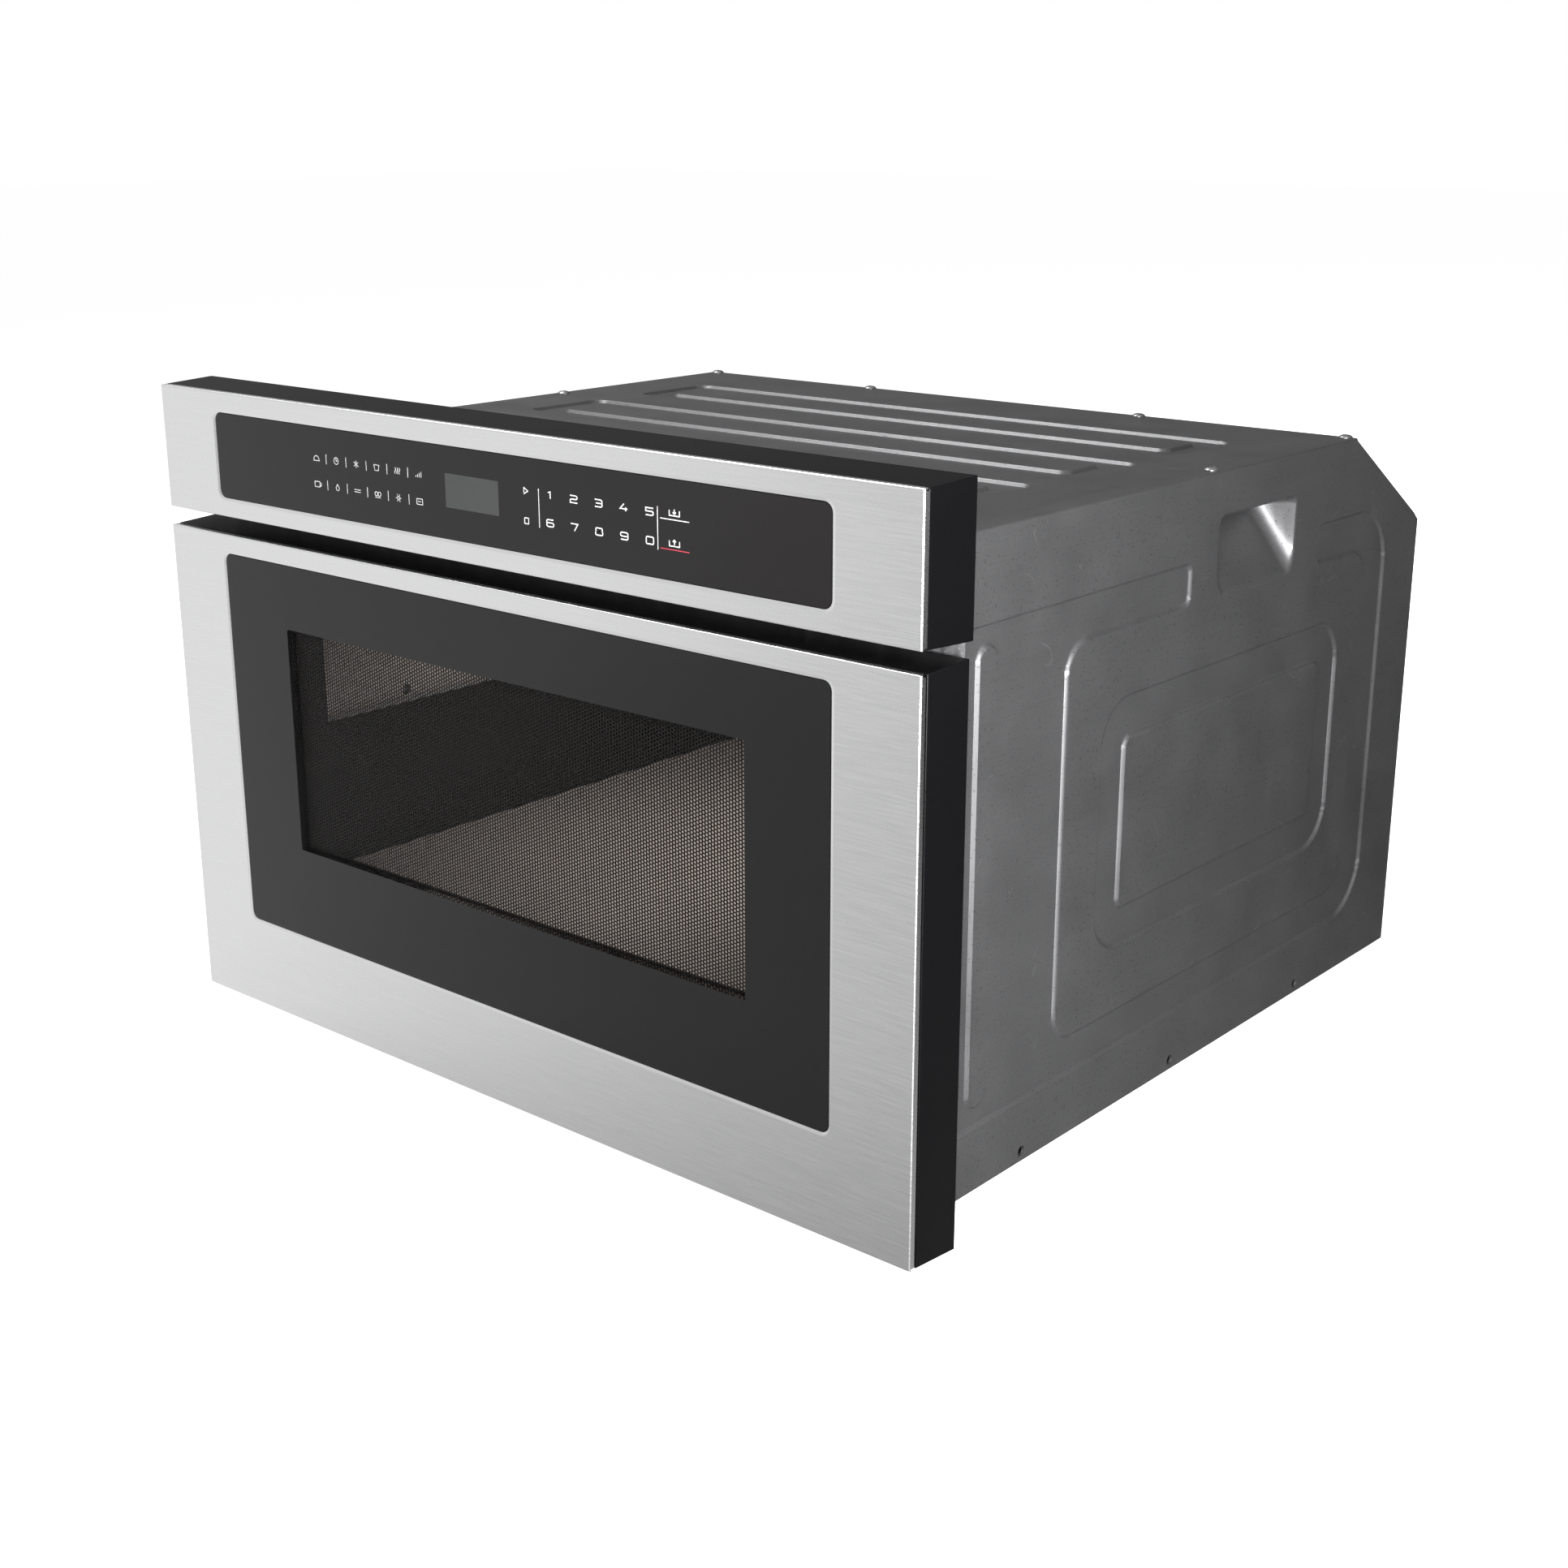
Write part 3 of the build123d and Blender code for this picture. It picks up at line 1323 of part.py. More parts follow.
def cord_gland():
    """The cord gland in the rear panel: an outer flange, a barrel and an inner nut."""
    floor_y = rear_y - gland_pocket_depth
    gland = rod((gland_x, floor_y, gland_z), gland_flange_r, gland_flange, (0, 1, 0))
    start = floor_y + gland_flange - gland_length
    gland += rod((gland_x, start, gland_z), gland_barrel_r, gland_length, (0, 1, 0))
    nut = Plane(origin=(gland_x, floor_y - sheet - 4, gland_z), x_dir=(1, 0, 0), z_dir=(0, 1, 0))
    gland += extrude(nut * RegularPolygon(gland_flange_r, 6), 4)
    return gland - rod((gland_x, start - 1, gland_z), gland_bore_r, gland_length + 2, (0, 1, 0))


def main():
    """Builds every piece and writes it."""
    os.makedirs("parts", exist_ok=True)
    both("side_panel", side_panel())
    write("base_panel", base_panel())
    write("top_cover", top_cover())
    write("rear_panel", rear_panel())
    write("front_frame", front_frame())
    write("case_screws", case_screws())
    write("cord_gland", cord_gland())

    write("cavity_shell", cavity_shell())
    write("ceiling_cover", ceiling_cover())
    write("waveguide", waveguide())
    write("antenna_rotor", antenna_rotor())
    write("antenna_motor", antenna_motor())
    write("magnetron", magnetron())
    write("hv_transformer", transformer())
    write("hv_capacitor", capacitor())
    write("power_board", power_board())
    write("line_filter", line_filter())
    write("cavity_lamp", cavity_lamp())
    write("thermal_cutouts", thermal_cutouts())
    write("fan_shroud", fan_shroud())
    write("fan_motor", fan_motor())
    write("fan_wheel", fan_wheel())
    write("air_duct", air_duct())

    write("control_frame", control_frame())
    write("control_fascia", fascia(control_bottom, front_top, control_opening, control_return))
    write("control_glass", glass(control_opening, control_glass_sheet))
    write("touch_board", touch_board())
    write("control_display", control_display())

    write("door_frame", door_frame())
    write("door_fascia", fascia(0, door_top, door_opening, door_return))
    write("door_glass", glass(door_opening, door_glass_sheet))
    write("door_spacer", door_spacer())
    write("door_screen", door_screen())
    write("door_inner_panel", door_inner_panel())
    write("choke_cover", choke_cover())
    write("door_bumpers", door_bumpers())
    write("latch_hooks", latch_hooks())

    write("drawer_pan", drawer_pan())
    write("pan_rim", pan_rim())
    write("floor_tray", floor_tray())
    write("pan_glides", pan_glides())
    both("drawer_arm", drawer_arm())
    both("slide_outer", slide_member(0))
    both("slide_middle", slide_member(1))
    both("slide_inner", slide_member(2))
    both("slide_bracket", slide_bracket())

    both("drive_rack", drive_rack())
    write("drive_shaft", drive_shaft())
    write("shaft_bearings", shaft_bearings())
    write("drive_gearbox", drive_gearbox())
    write("drive_motor", drive_motor())
    write("interlock_brackets", interlock_brackets())
    write("interlock_switches", interlock_switches())


main()
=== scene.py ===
import bmesh
import bpy
import numpy as np
from bpy.props import FloatProperty, FloatVectorProperty, PointerProperty
from bpy.types import Operator, Panel, PropertyGroup
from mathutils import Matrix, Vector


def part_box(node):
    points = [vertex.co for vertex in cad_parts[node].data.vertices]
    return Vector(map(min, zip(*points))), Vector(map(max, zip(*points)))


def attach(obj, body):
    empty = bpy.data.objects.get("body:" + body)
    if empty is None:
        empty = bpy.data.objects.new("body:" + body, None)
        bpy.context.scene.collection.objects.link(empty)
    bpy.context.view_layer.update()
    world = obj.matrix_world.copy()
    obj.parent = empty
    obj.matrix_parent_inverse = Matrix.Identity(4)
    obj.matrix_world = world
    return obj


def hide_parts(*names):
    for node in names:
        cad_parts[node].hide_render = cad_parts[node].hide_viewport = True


bl_info = {
    "name": "Microwave drawer looks",
    "version": (1, 0, 0),
    "blender": (4, 5, 0),
    "location": "3D View > Sidebar > Drawer",
    "description": "Builds the finished sheets, glass, marks, screws and studio round a microwave drawer",
    "category": "Object",
}

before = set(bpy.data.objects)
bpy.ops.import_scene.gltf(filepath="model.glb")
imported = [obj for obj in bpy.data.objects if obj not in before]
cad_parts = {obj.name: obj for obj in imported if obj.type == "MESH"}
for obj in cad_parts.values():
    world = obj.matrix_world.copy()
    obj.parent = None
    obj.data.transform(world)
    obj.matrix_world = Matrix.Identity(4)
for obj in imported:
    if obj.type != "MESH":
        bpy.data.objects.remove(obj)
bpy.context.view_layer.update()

# Everything is drawn in millimetres, with X from the middle of the front, Y from its face to the back and
# Z from the lower edge of the stainless door.
MM = 0.001
ORIGIN = np.array([0.0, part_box("door_fascia")[0].y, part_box("door_fascia")[0].z])


def reach(node_name):
    """Lowest and highest corner of a CAD node, in the drawing's millimetres."""
    return [(np.array(corner) - ORIGIN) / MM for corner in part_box(node_name)]


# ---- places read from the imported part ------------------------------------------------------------
SIDE_LOW, SIDE_HIGH = reach("side_panel_right")
COVER_LOW, COVER_HIGH = reach("top_cover")
DOOR_LOW, DOOR_HIGH = reach("door_fascia")
CONTROL_LOW, CONTROL_HIGH = reach("control_fascia")
DOOR_PANE = reach("door_glass")
CONTROL_PANE = reach("control_glass")
WINDOW_SCREEN = reach("door_screen")
CAVITY = reach("cavity_shell")
CEILING = reach("ceiling_cover")

FRONT_HALF = DOOR_HIGH[0]
CASE_HALF = COVER_HIGH[0]
SIDE_OUT = SIDE_HIGH[0]
REAR_Y = SIDE_HIGH[1]
CHAMFER_Y = COVER_HIGH[1]
FLANGE_BACK = COVER_LOW[1]

# ---- pressings of the case, as y0, y1, z0, z1, corner --------------------------------------------
BAND_OUTER = (SIDE_LOW[1] - 80.0, 551.0, 39.3, 325.4, 40.0)
BAND_ISLAND = (168.7, 520.0, 64.8, 298.6, 18.0)
BAND_GAP = (296.0, 451.5, 280.0, 345.0, 1.0)
BAND_END_CORNER = 7.0
SLOT = (85.0, 100.0, 53.3, 312.3, 7.49)
RING_OUTER = (204.7, 490.5, 103.5, 259.4, 30.0)
RING_ISLAND = (231.3, 463.9, 130.1, 232.8, 6.0)
SCOOP_ENDS = (326.0, 419.0)
SCOOP_LOW, SCOOP_TOP, SCOOP_DEPTH = 300.0, 347.5, 34.0
SCOOP_CREASE, SCOOP_CORNER, SCOOP_LIP, SCOOP_DRAFT = 9.0, 5.0, 1.6, 0.12
CHAMFER_LOW = 310.24
CHAMFER_END_Y = 596.4
CORNER_LOW = 308.34
WARP_FROM = 300.0
FOOT_HOLES = (138.3, 301.45, 464.6)
FOOT_HOLE_Z, FOOT_HOLE_R, FOOT_PATCH = 8.0, 3.2, 6.0
BEAD_REARS = (427.0, 316.0, 205.0)
BEAD_LENGTH, BEAD_HALF, BEAD_WIDTH = 71.0, 228.0, 19.0
BEAD_CORNER, BEAD_INNER_CORNER = 10.0, 5.0
CROWN_HALF, CROWN_REAR, CROWN_SLOPE, CROWN_HEIGHT = 260.0, 235.2, 6.0, 1.5
ROOF_Z = COVER_HIGH[2] - CROWN_HEIGHT
COVER_BEND = 1.4
SIDE_FLANGE_START = FLANGE_BACK + 30.3  # where the side panel's upper flange begins
FINE_STEP, COARSE_STEP = 0.95, 7.0  # grid steps of a side panel, at its pressings and elsewhere
COVER_STEPS = ((0.8, 9.0), (0.6, 8.0))  # the same for the cover, across and along it

# ---- screws --------------------------------------------------------------------------------------
# Radius and heights of the heads, and how far they stand from the sides, the rear edge and the foot.
CASE_HEAD_R, TOP_HEAD, REAR_HEAD = 4.5, 2.0, 1.6
TOP_SCREW_SIDE, TOP_SCREW_REAR, TOP_SCREW_INNER_X, TOP_SCREW_FORWARD = 7.3, 2.8, 117.0, 169.9
REAR_SCREW_SIDE, REAR_SCREW_HEIGHTS = 10, (25.0, 155.0, 285.0)
REAR_SCREW_LOW, REAR_SCREW_LOW_X = 11.8, 90.0
WALL_SCREW, WALL_HEAD_R, WALL_HEAD = (-228.0, 124.2, 196.8), 3.5, 1.5

# ---- front ---------------------------------------------------------------------------------------
GLASS_HALF, GLASS_CORNER, BEVEL, BEVEL_DEPTH = 248.0, 5.5, 1.8, 0.6
DOOR_OPENING = (61.0, 307.7)
CONTROL_OPENING = (343.2, 396.7)
GLASS_GAP = 0.3
FRONT_CORNER, FRAME_CORNER = 0.35, 0.8
DOOR_GROOVE, CONTROL_GROOVE = 5.3, 4.0  # depth of the groove before each frame's front edge
LIP, LIP_FRONT = 1.5, 1.2  # the frame's set-in lip: how far in, and how far behind the stainless
DOOR_FRAME_HOLE = (262.0, 46.0, 299.2, 5.5)  # half width, foot, head and corner
FRAME_INSET, FRAME_WALL = 3.0, 2.5
FRAME_FLARE = 1.6
HOLD = 0.3  # width of the narrow strip beside a bend that keeps the flat face's light even
WINDOW = (189.8, 121.6, 266.7)  # half width, sill and head
MESH_SHEET, MESH_MARGIN = 0.2, 1.6
MARK_FRONT, MARK_BACK = 0.045, 0.01  # how far the ink stands before and in the glass's face


# ---- sizes and colours that a user would change --------------------------------------------------
def lin(code):
    """An sRGB hex colour as linear red, green and blue."""
    srgb = np.array([int(code[i:i + 2], 16) for i in (0, 2, 4)]) / 255
    return tuple(np.where(srgb <= 0.04045, srgb / 12.92, ((srgb + 0.055) / 1.055) ** 2.4))


def colour(name, description, code):
    """A colour property whose default is an sRGB hex value."""
    return FloatVectorProperty(name=name, description=description, subtype="COLOR", size=3,
                               min=0.0, max=1.0, default=lin(code))


def length(name, description, millimetres):
    """A length property whose default is given in millimetres."""
    return FloatProperty(name=name, description=description, unit="LENGTH", min=0.0,
                         default=millimetres * MM, precision=5)


class DrawerSizes(PropertyGroup):
    """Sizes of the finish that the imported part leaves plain."""

    press_depth: length("Pressing depth", "How far the bands and beads are pressed in", 2.0)
    press_slope: length("Pressing slope", "Width of the slope along a pressed edge", 2.2)
    case_sheet: length("Case sheet", "Thickness of the galvanised case", 0.8)
    front_sheet: length("Front sheet", "Thickness of the stainless fronts", 1.0)
    front_bend: length("Front bend", "Outer bend radius of the stainless fronts", 1.1)
    frame_edge: length("Frame edge", "Edge radius of the black frames", 0.6)
    screen_pitch: length("Screen pitch", "Distance between two holes of the door screen", 2.2)
    screen_web: length("Screen web", "Metal left between two holes of the door screen", 0.62)
    mark_width: length("Mark width", "Line width of the printed marks", 0.5)
    brush_pitch: length("Brush pitch", "Spacing of the brushed lines on the stainless fronts", 0.5)
    spangle: length("Spangle", "Size of the zinc crystals on the front flange", 2.6)


class DrawerColours(PropertyGroup):
    """The colour of each finish."""

    galvanised_case: colour("Case", "Dark galvanised steel of the case", "505051")
    zinc_flange: colour("Flange", "Bright spangled zinc of the front flange", "8E8E90")
    stainless: colour("Stainless", "Brushed stainless fronts", "CECECF")
    black_frame: colour("Frames", "Satin black painted frames", "080809")
    control_glass: colour("Control glass", "Dark glass of the controls", "100E0E")
    door_glass: colour("Door glass", "Smoked glass of the door", "F2F2F2")
    glass_print: colour("Glass print", "Black enamel behind the door glass", "0D0D0D")
    dark_plastic: colour("Dark plastic", "Moulded black plastic", "1E1E1F")
    cavity_paint: colour("Cavity", "Beige enamel of the cavity", "C6BFBA")
    pan_paint: colour("Pan", "Dark enamel of the drawer pan", "151413")
    rim_plastic: colour("Rim", "Grey trim of the pan", "9A9A99")
    tray_glass: colour("Tray", "Glass floor of the pan", "CFC8C3")
    screen_metal: colour("Screen", "Black painted screen", "151414")
    white_plastic: colour("White plastic", "Moulded white parts", "E4E2DC")
    nylon: colour("Nylon", "Gears and glides", "DBD8CC")
    zinc_steel: colour("Zinc steel", "Zinc plated brackets and slides", "B9BABC")
    aluminium: colour("Aluminium", "Fins and covers", "D5D6D8")
    core_steel: colour("Core steel", "Varnished laminations", "4E4540")
    circuit_board: colour("Circuit board", "Green solder mask", "2C6B43")
    motor_steel: colour("Motor steel", "Drawn steel cans", "A6A7A9")
    rubber: colour("Rubber", "Soft bumpers and gland", "262626")
    mica: colour("Mica", "Wave guide cover", "C3B49A")
    display: colour("Display", "Unlit display window", "404241")
    screw_zinc: colour("Screws", "Zinc plated screws", "767677")
    mark_white: colour("White marks", "Printed white marks", "E9E9E9")
    mark_red: colour("Red mark", "Red line under the closing mark", "B3243F")


def sizes(name):
    """One size of the finish, in millimetres."""
    return getattr(bpy.context.scene.drawer_sizes, name) / MM


def tint(name, share=1.0):
    """One finish's colour, made lighter or darker by a share, with full alpha."""
    return (*np.clip(np.array(getattr(bpy.context.scene.drawer_colours, name)) * share, 0, 1), 1.0)


# ---- shapes --------------------------------------------------------------------------------------
def place(points):
    """Drawing millimetres as metres in the part's own frame."""
    return ORIGIN + MM * np.asarray(points, float)


def quads(rows, columns, closed_rows=False, closed_columns=False):
    """The faces between neighbouring points of a grid, which may close on itself either way."""
    index = np.arange(rows * columns).reshape(rows, columns)
    if closed_columns:
        index = np.concatenate([index, index[:, :1]], axis=1)
    if closed_rows:
        index = np.concatenate([index, index[:1]], axis=0)
    corners = [index[:-1, :-1], index[:-1, 1:], index[1:, 1:], index[1:, :-1]]
    return np.stack(corners, axis=-1).reshape(-1, 4)


def together(*shapes):
    """Several shapes as one: the faces of each count on from the points before it."""
    points, faces, start = [], [], 0
    for shape_points, shape_faces in shapes:
        points.append(shape_points)
        faces += [face + start for face in shape_faces]
        start += len(shape_points)
    return np.concatenate(points), faces


def ring(half, low, top, corner, y, arc=5, run=4):
    """A rounded rectangle across the front: four quarter circles joined by straight runs of even steps."""
    turn = np.linspace(0, np.pi / 2, arc + 1)
    middles = [(half - corner, top - corner), (corner - half, top - corner),
               (corner - half, low + corner), (half - corner, low + corner)]
    arcs = [np.stack([x + corner * np.cos(turn + side * np.pi / 2),
                      z + corner * np.sin(turn + side * np.pi / 2)], 1)
            for side, (x, z) in enumerate(middles)]
    share = np.linspace(0, 1, run + 1)[1:-1, None]
    line = np.concatenate([part for side in range(4) for part in (
        arcs[side], arcs[side][-1] + (arcs[(side + 1) % 4][0] - arcs[side][-1]) * share)])
    return np.column_stack([line[:, 0], np.full(len(line), y), line[:, 1]])


def lofted(rings, closed=False, caps=False):
    """A skin over a row of rings, closed on itself or capped with one face at each end."""
    points = np.concatenate(rings)
    count = len(rings[0])
    faces = [quads(len(rings), count, closed_rows=closed, closed_columns=True)]
    if caps:
        ends = np.arange(count)
        faces += [ends[None, :], (ends + count * (len(rings) - 1))[None, ::-1]]
    return points, faces


def slab(low, high):
    """A closed box between two corners: a square ring carried from its lower to its upper end."""
    (x0, y0, z0), (x1, y1, z1) = low, high
    rings = [np.array([(x0, y0, z), (x1, y0, z), (x1, y1, z), (x0, y1, z)]) for z in (z0, z1)]
    return lofted(rings, caps=True)


def lines_between(low, high, fine, coarse, zones):
    """Grid lines from low to high, with fine steps inside the zones and coarse steps elsewhere."""
    edges = [edge for zone in zones for edge in zone if low < edge < high]
    marks = sorted({low, high, *edges})
    steps = []
    for start, end in zip(marks, marks[1:]):
        middle = (start + end) / 2
        step = fine if any(a <= middle <= b for a, b in zones) else coarse
        steps.append(np.linspace(start, end, int(np.ceil((end - start) / step)) + 1)[:-1])
    return np.concatenate(steps + [[high]])


def smooth(share):
    """Zero below 0, one above 1 and a soft S between them."""
    share = np.clip(share, 0, 1)
    return share * share * (3 - 2 * share)


def outline_distance(u, v, box):
    """Distance to a rounded rectangle, less than zero inside it: the distance to the corner's circle
    or to the nearest side."""
    u0, u1, v0, v1, corner = box
    a = np.abs(u - (u0 + u1) / 2) - (u1 - u0) / 2 + corner
    b = np.abs(v - (v0 + v1) / 2) - (v1 - v0) / 2 + corner
    return np.hypot(np.maximum(a, 0), np.maximum(b, 0)) + np.minimum(np.maximum(a, b), 0) - corner


def meet(a, b, radius):
    """Where two regions overlap, as a distance, with the corner between them rounded."""
    corner = np.hypot(np.maximum(a + radius, 0), np.maximum(b + radius, 0))
    return np.minimum(np.maximum(a, b), -radius) + corner


# ---- putting shapes into the scene ---------------------------------------------------------------
def shade(mesh, sharp):
    """Smooth faces, with sharp edges where two faces meet at more than an angle."""
    mesh.shade_smooth()
    mesh.set_sharp_from_angle(angle=np.radians(sharp))


def add_piece(name, shape, finish_name, body, nodes=(), closed=True, flipped=False, sharp=35.0):
    """Makes one piece: the grid goes into a mesh, its seams are welded, and it rides on its body."""
    points, faces = shape
    if flipped:
        faces = [face[:, ::-1] for face in faces]
    mesh = bpy.data.meshes.new(name)
    counts = np.concatenate([np.full(len(face), face.shape[1]) for face in faces])
    corners = np.concatenate([face.ravel() for face in faces])
    mesh.vertices.add(len(points))
    mesh.vertices.foreach_set("co", place(points).ravel())
    mesh.loops.add(len(corners))
    mesh.loops.foreach_set("vertex_index", corners)
    mesh.polygons.add(len(counts))
    mesh.polygons.foreach_set("loop_start", np.concatenate([[0], np.cumsum(counts)[:-1]]))
    mesh.update(calc_edges=True)
    mesh.validate()
    work = bmesh.new()
    work.from_mesh(mesh)
    bmesh.ops.remove_doubles(work, verts=work.verts, dist=1e-6)
    if closed:
        bmesh.ops.recalc_face_normals(work, faces=work.faces)
    work.to_mesh(mesh)
    work.free()
    shade(mesh, sharp)
    return hang(name, mesh, finish_name, body, nodes)


def hang(name, mesh, finish_name, body, nodes=()):
    """Links a mesh as a piece of the object, with its finish, body and the nodes it stands for."""
    piece = bpy.data.objects.new(name, mesh)
    bpy.context.scene.collection.objects.link(piece)
    mesh.materials.clear()
    mesh.materials.append(finish(finish_name))
    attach(piece, body)
    if nodes:
        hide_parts(*nodes)
    return piece


def settle(piece, sharp=35.0):
    """Replaces a piece's mesh with what its modifiers make of it, shaded again where an angle is given."""
    graph = bpy.context.evaluated_depsgraph_get()
    made = bpy.data.meshes.new_from_object(piece.evaluated_get(graph), depsgraph=graph)
    piece.modifiers.clear()
    piece.data = made
    if sharp:
        shade(made, sharp)


def thicken(piece, thickness, kept):
    """Gives a sheet its thickness, inwards from its outer face, and keeps a share of all its faces by
    thinning out the hidden back, which needs fewer than the front."""
    back = piece.vertex_groups.new(name="Back")
    made = piece.modifiers.new("Thickness", "SOLIDIFY")
    made.thickness, made.offset, made.shell_vertex_group = thickness * MM, -1, back.name
    lighter = piece.modifiers.new("Lighter back", "DECIMATE")
    lighter.ratio, lighter.vertex_group = kept, back.name
    settle(piece)
    piece.vertex_groups.clear()


def cut_away(piece, shape, sharp=35.0):
    """Takes a closed shape away from a piece."""
    points, faces = shape
    mesh = bpy.data.meshes.new("Cutter")
    mesh.from_pydata(place(points).tolist(), [], [list(map(int, row)) for face in faces for row in face])
    work = bmesh.new()
    work.from_mesh(mesh)
    bmesh.ops.recalc_face_normals(work, faces=work.faces)
    work.to_mesh(mesh)
    work.free()
    cutter = bpy.data.objects.new("Cutter", mesh)
    bpy.context.scene.collection.objects.link(cutter)
    modifier = piece.modifiers.new("Cut", "BOOLEAN")
    modifier.operation, modifier.solver, modifier.object = "DIFFERENCE", "EXACT", cutter
    settle(piece, sharp)
    bpy.data.objects.remove(cutter)


def soften(node_name, width, finish_name, body, sharp=35.0):
    """A copy of a CAD node with its loose triangles merged to flat faces and its edges rounded."""
    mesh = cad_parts[node_name].data.copy()
    mesh.name = node_name + "_soft"
    work = bmesh.new()
    work.from_mesh(mesh)
    bmesh.ops.remove_doubles(work, verts=work.verts, dist=1e-6)
    bmesh.ops.dissolve_limit(work, angle_limit=np.radians(1.0), verts=work.verts, edges=work.edges)
    work.to_mesh(mesh)
    work.free()
    shade(mesh, sharp)
    piece = hang(node_name + "_soft", mesh, finish_name, body, [node_name])
    edge = piece.modifiers.new("Edge", "BEVEL")
    edge.width, edge.segments = width * MM, 2
    edge.limit_method, edge.angle_limit = "ANGLE", np.radians(30)
    edge.harden_normals = True
    settle(piece, sharp=None)


# ---- finishes ------------------------------------------------------------------------------------
def node(tree, kind, sockets=(), **settings):
    """Adds a shader node with its settings, and sets or links its sockets."""
    made = tree.nodes.new("ShaderNode" + kind)
    for name, value in settings.items():
        setattr(made, name, value)
    for socket, value in dict(sockets).items():
        if isinstance(value, bpy.types.NodeSocket):
            tree.links.new(value, made.inputs[socket])
        else:
            made.inputs[socket].default_value = value
    return made


def pattern(tree, millimetres, stretch=(1.0, 1.0, 1.0), detail=3.0, rough=0.55):
    """Noise with lumps of a real size, in the piece's own coordinates, longer where stretch is below 1."""
    where = node(tree, "TexCoord").outputs["Object"]
    scaled = node(tree, "Mapping", {"Vector": where, "Scale": stretch})
    return node(tree, "TexNoise", {"Vector": scaled.outputs[0], "Detail": detail,
                "Scale": 1 / (millimetres * MM), "Roughness": rough}).outputs[0]


def blank(name):
    """A new material with an empty node tree."""
    made = bpy.data.materials.new(name)
    made.use_nodes = True
    made.node_tree.nodes.clear()
    return made, made.node_tree


def close(tree, sockets):
    """Ends a material with one Principled surface."""
    shader = node(tree, "BsdfPrincipled", sockets)
    node(tree, "OutputMaterial", {"Surface": shader.outputs[0]})


def grained(name, slot, metallic, roughness, grain, spread=0.1, relief=0.01, stretch=(1.0, 1.0, 1.0),
            **constants):
    """A finish with one grain that varies its colour, roughness and height together."""
    made, tree = blank(name)
    lumps = pattern(tree, grain, stretch)
    mixed = node(tree, "Mix", {0: lumps, 6: tint(slot, 1 - spread), 7: tint(slot, 1 + spread)},
                 data_type="RGBA")
    rough = node(tree, "MapRange", {"Value": lumps, "From Min": 0.3, "From Max": 0.7,
                 "To Min": roughness[0], "To Max": roughness[1]})
    bump = node(tree, "Bump", {"Height": lumps, "Distance": relief * MM, "Strength": 1.0})
    close(tree, {"Base Color": mixed.outputs[2], "Metallic": metallic, "Roughness": rough.outputs[0],
                 "Normal": bump.outputs[0], **constants})
    return made


def galvanised_sheet():
    """Hot-dip galvanised steel, rolled, passivated dark and pressed: soft mottling and rolling streaks,
    dark specks and a few short pale scratches."""
    made, tree = blank("galvanised_steel_rolled_dark")
    clouds = pattern(tree, 38.0)
    streaks = pattern(tree, 1.3, (0.6, 0.03, 1.0))
    specks = pattern(tree, 1.3, detail=1.0)
    scratch_place = pattern(tree, 20.0)
    where = node(tree, "TexCoord").outputs["Object"]
    bent = node(tree, "TexNoise", {"Vector": where, "Scale": 28.0, "Detail": 1.0})
    shifted = node(tree, "VectorMath", {0: bent.outputs["Color"], 3: 0.05}, operation="SCALE")
    moved = node(tree, "VectorMath", {0: where, 1: shifted.outputs[0]}, operation="ADD")
    cells = node(tree, "TexVoronoi", {"Vector": moved.outputs[0], "Scale": 1 / (46 * MM)},
                 feature="DISTANCE_TO_EDGE")
    # A scratch follows a cell's wall, fades out 0.55 mm from it and is kept where a second noise is high.
    line = node(tree, "MapRange", {"Value": cells.outputs["Distance"], "From Min": 0.0,
                "From Max": 0.012, "To Min": 1.0, "To Max": 0.0})
    kept = node(tree, "MapRange", {"Value": scratch_place, "From Min": 0.6, "From Max": 0.66})
    scratch = node(tree, "Math", {0: line.outputs[0], 1: kept.outputs[0]}, operation="MULTIPLY")
    cloudy = node(tree, "Mix", {0: clouds, 6: tint("galvanised_case", 0.84),
                  7: tint("galvanised_case", 1.16)}, data_type="RGBA")
    streak_share = node(tree, "MapRange", {"Value": streaks, "From Min": 0.35, "From Max": 0.65,
                        "To Min": 0.0, "To Max": 0.09})
    streaky = node(tree, "Mix", {0: streak_share.outputs[0], 6: cloudy.outputs[2],
                   7: tint("galvanised_case", 1.7)}, data_type="RGBA")
    speck_share = node(tree, "MapRange", {"Value": specks, "From Min": 0.36, "From Max": 0.29,
                       "To Min": 0.0, "To Max": 0.7})
    speckled = node(tree, "Mix", {0: speck_share.outputs[0], 6: streaky.outputs[2],
                    7: tint("galvanised_case", 0.35)}, data_type="RGBA")
    scratch_share = node(tree, "Math", {0: scratch.outputs[0], 1: 0.32}, operation="MULTIPLY")
    scratched = node(tree, "Mix", {0: scratch_share.outputs[0], 6: speckled.outputs[2],
                     7: tint("galvanised_case", 2.4)}, data_type="RGBA")
    rough = node(tree, "MapRange", {"Value": clouds, "From Min": 0.3, "From Max": 0.7,
                 "To Min": 0.41, "To Max": 0.46})
    bump = node(tree, "Bump", {"Height": streaks, "Distance": 0.003 * MM, "Strength": 1.0})
    close(tree, {"Base Color": scratched.outputs[2], "Metallic": 0.6, "Roughness": rough.outputs[0],
                 "Normal": bump.outputs[0], "Specular Tint": (0.6, 0.6, 0.6, 1)})
    return made


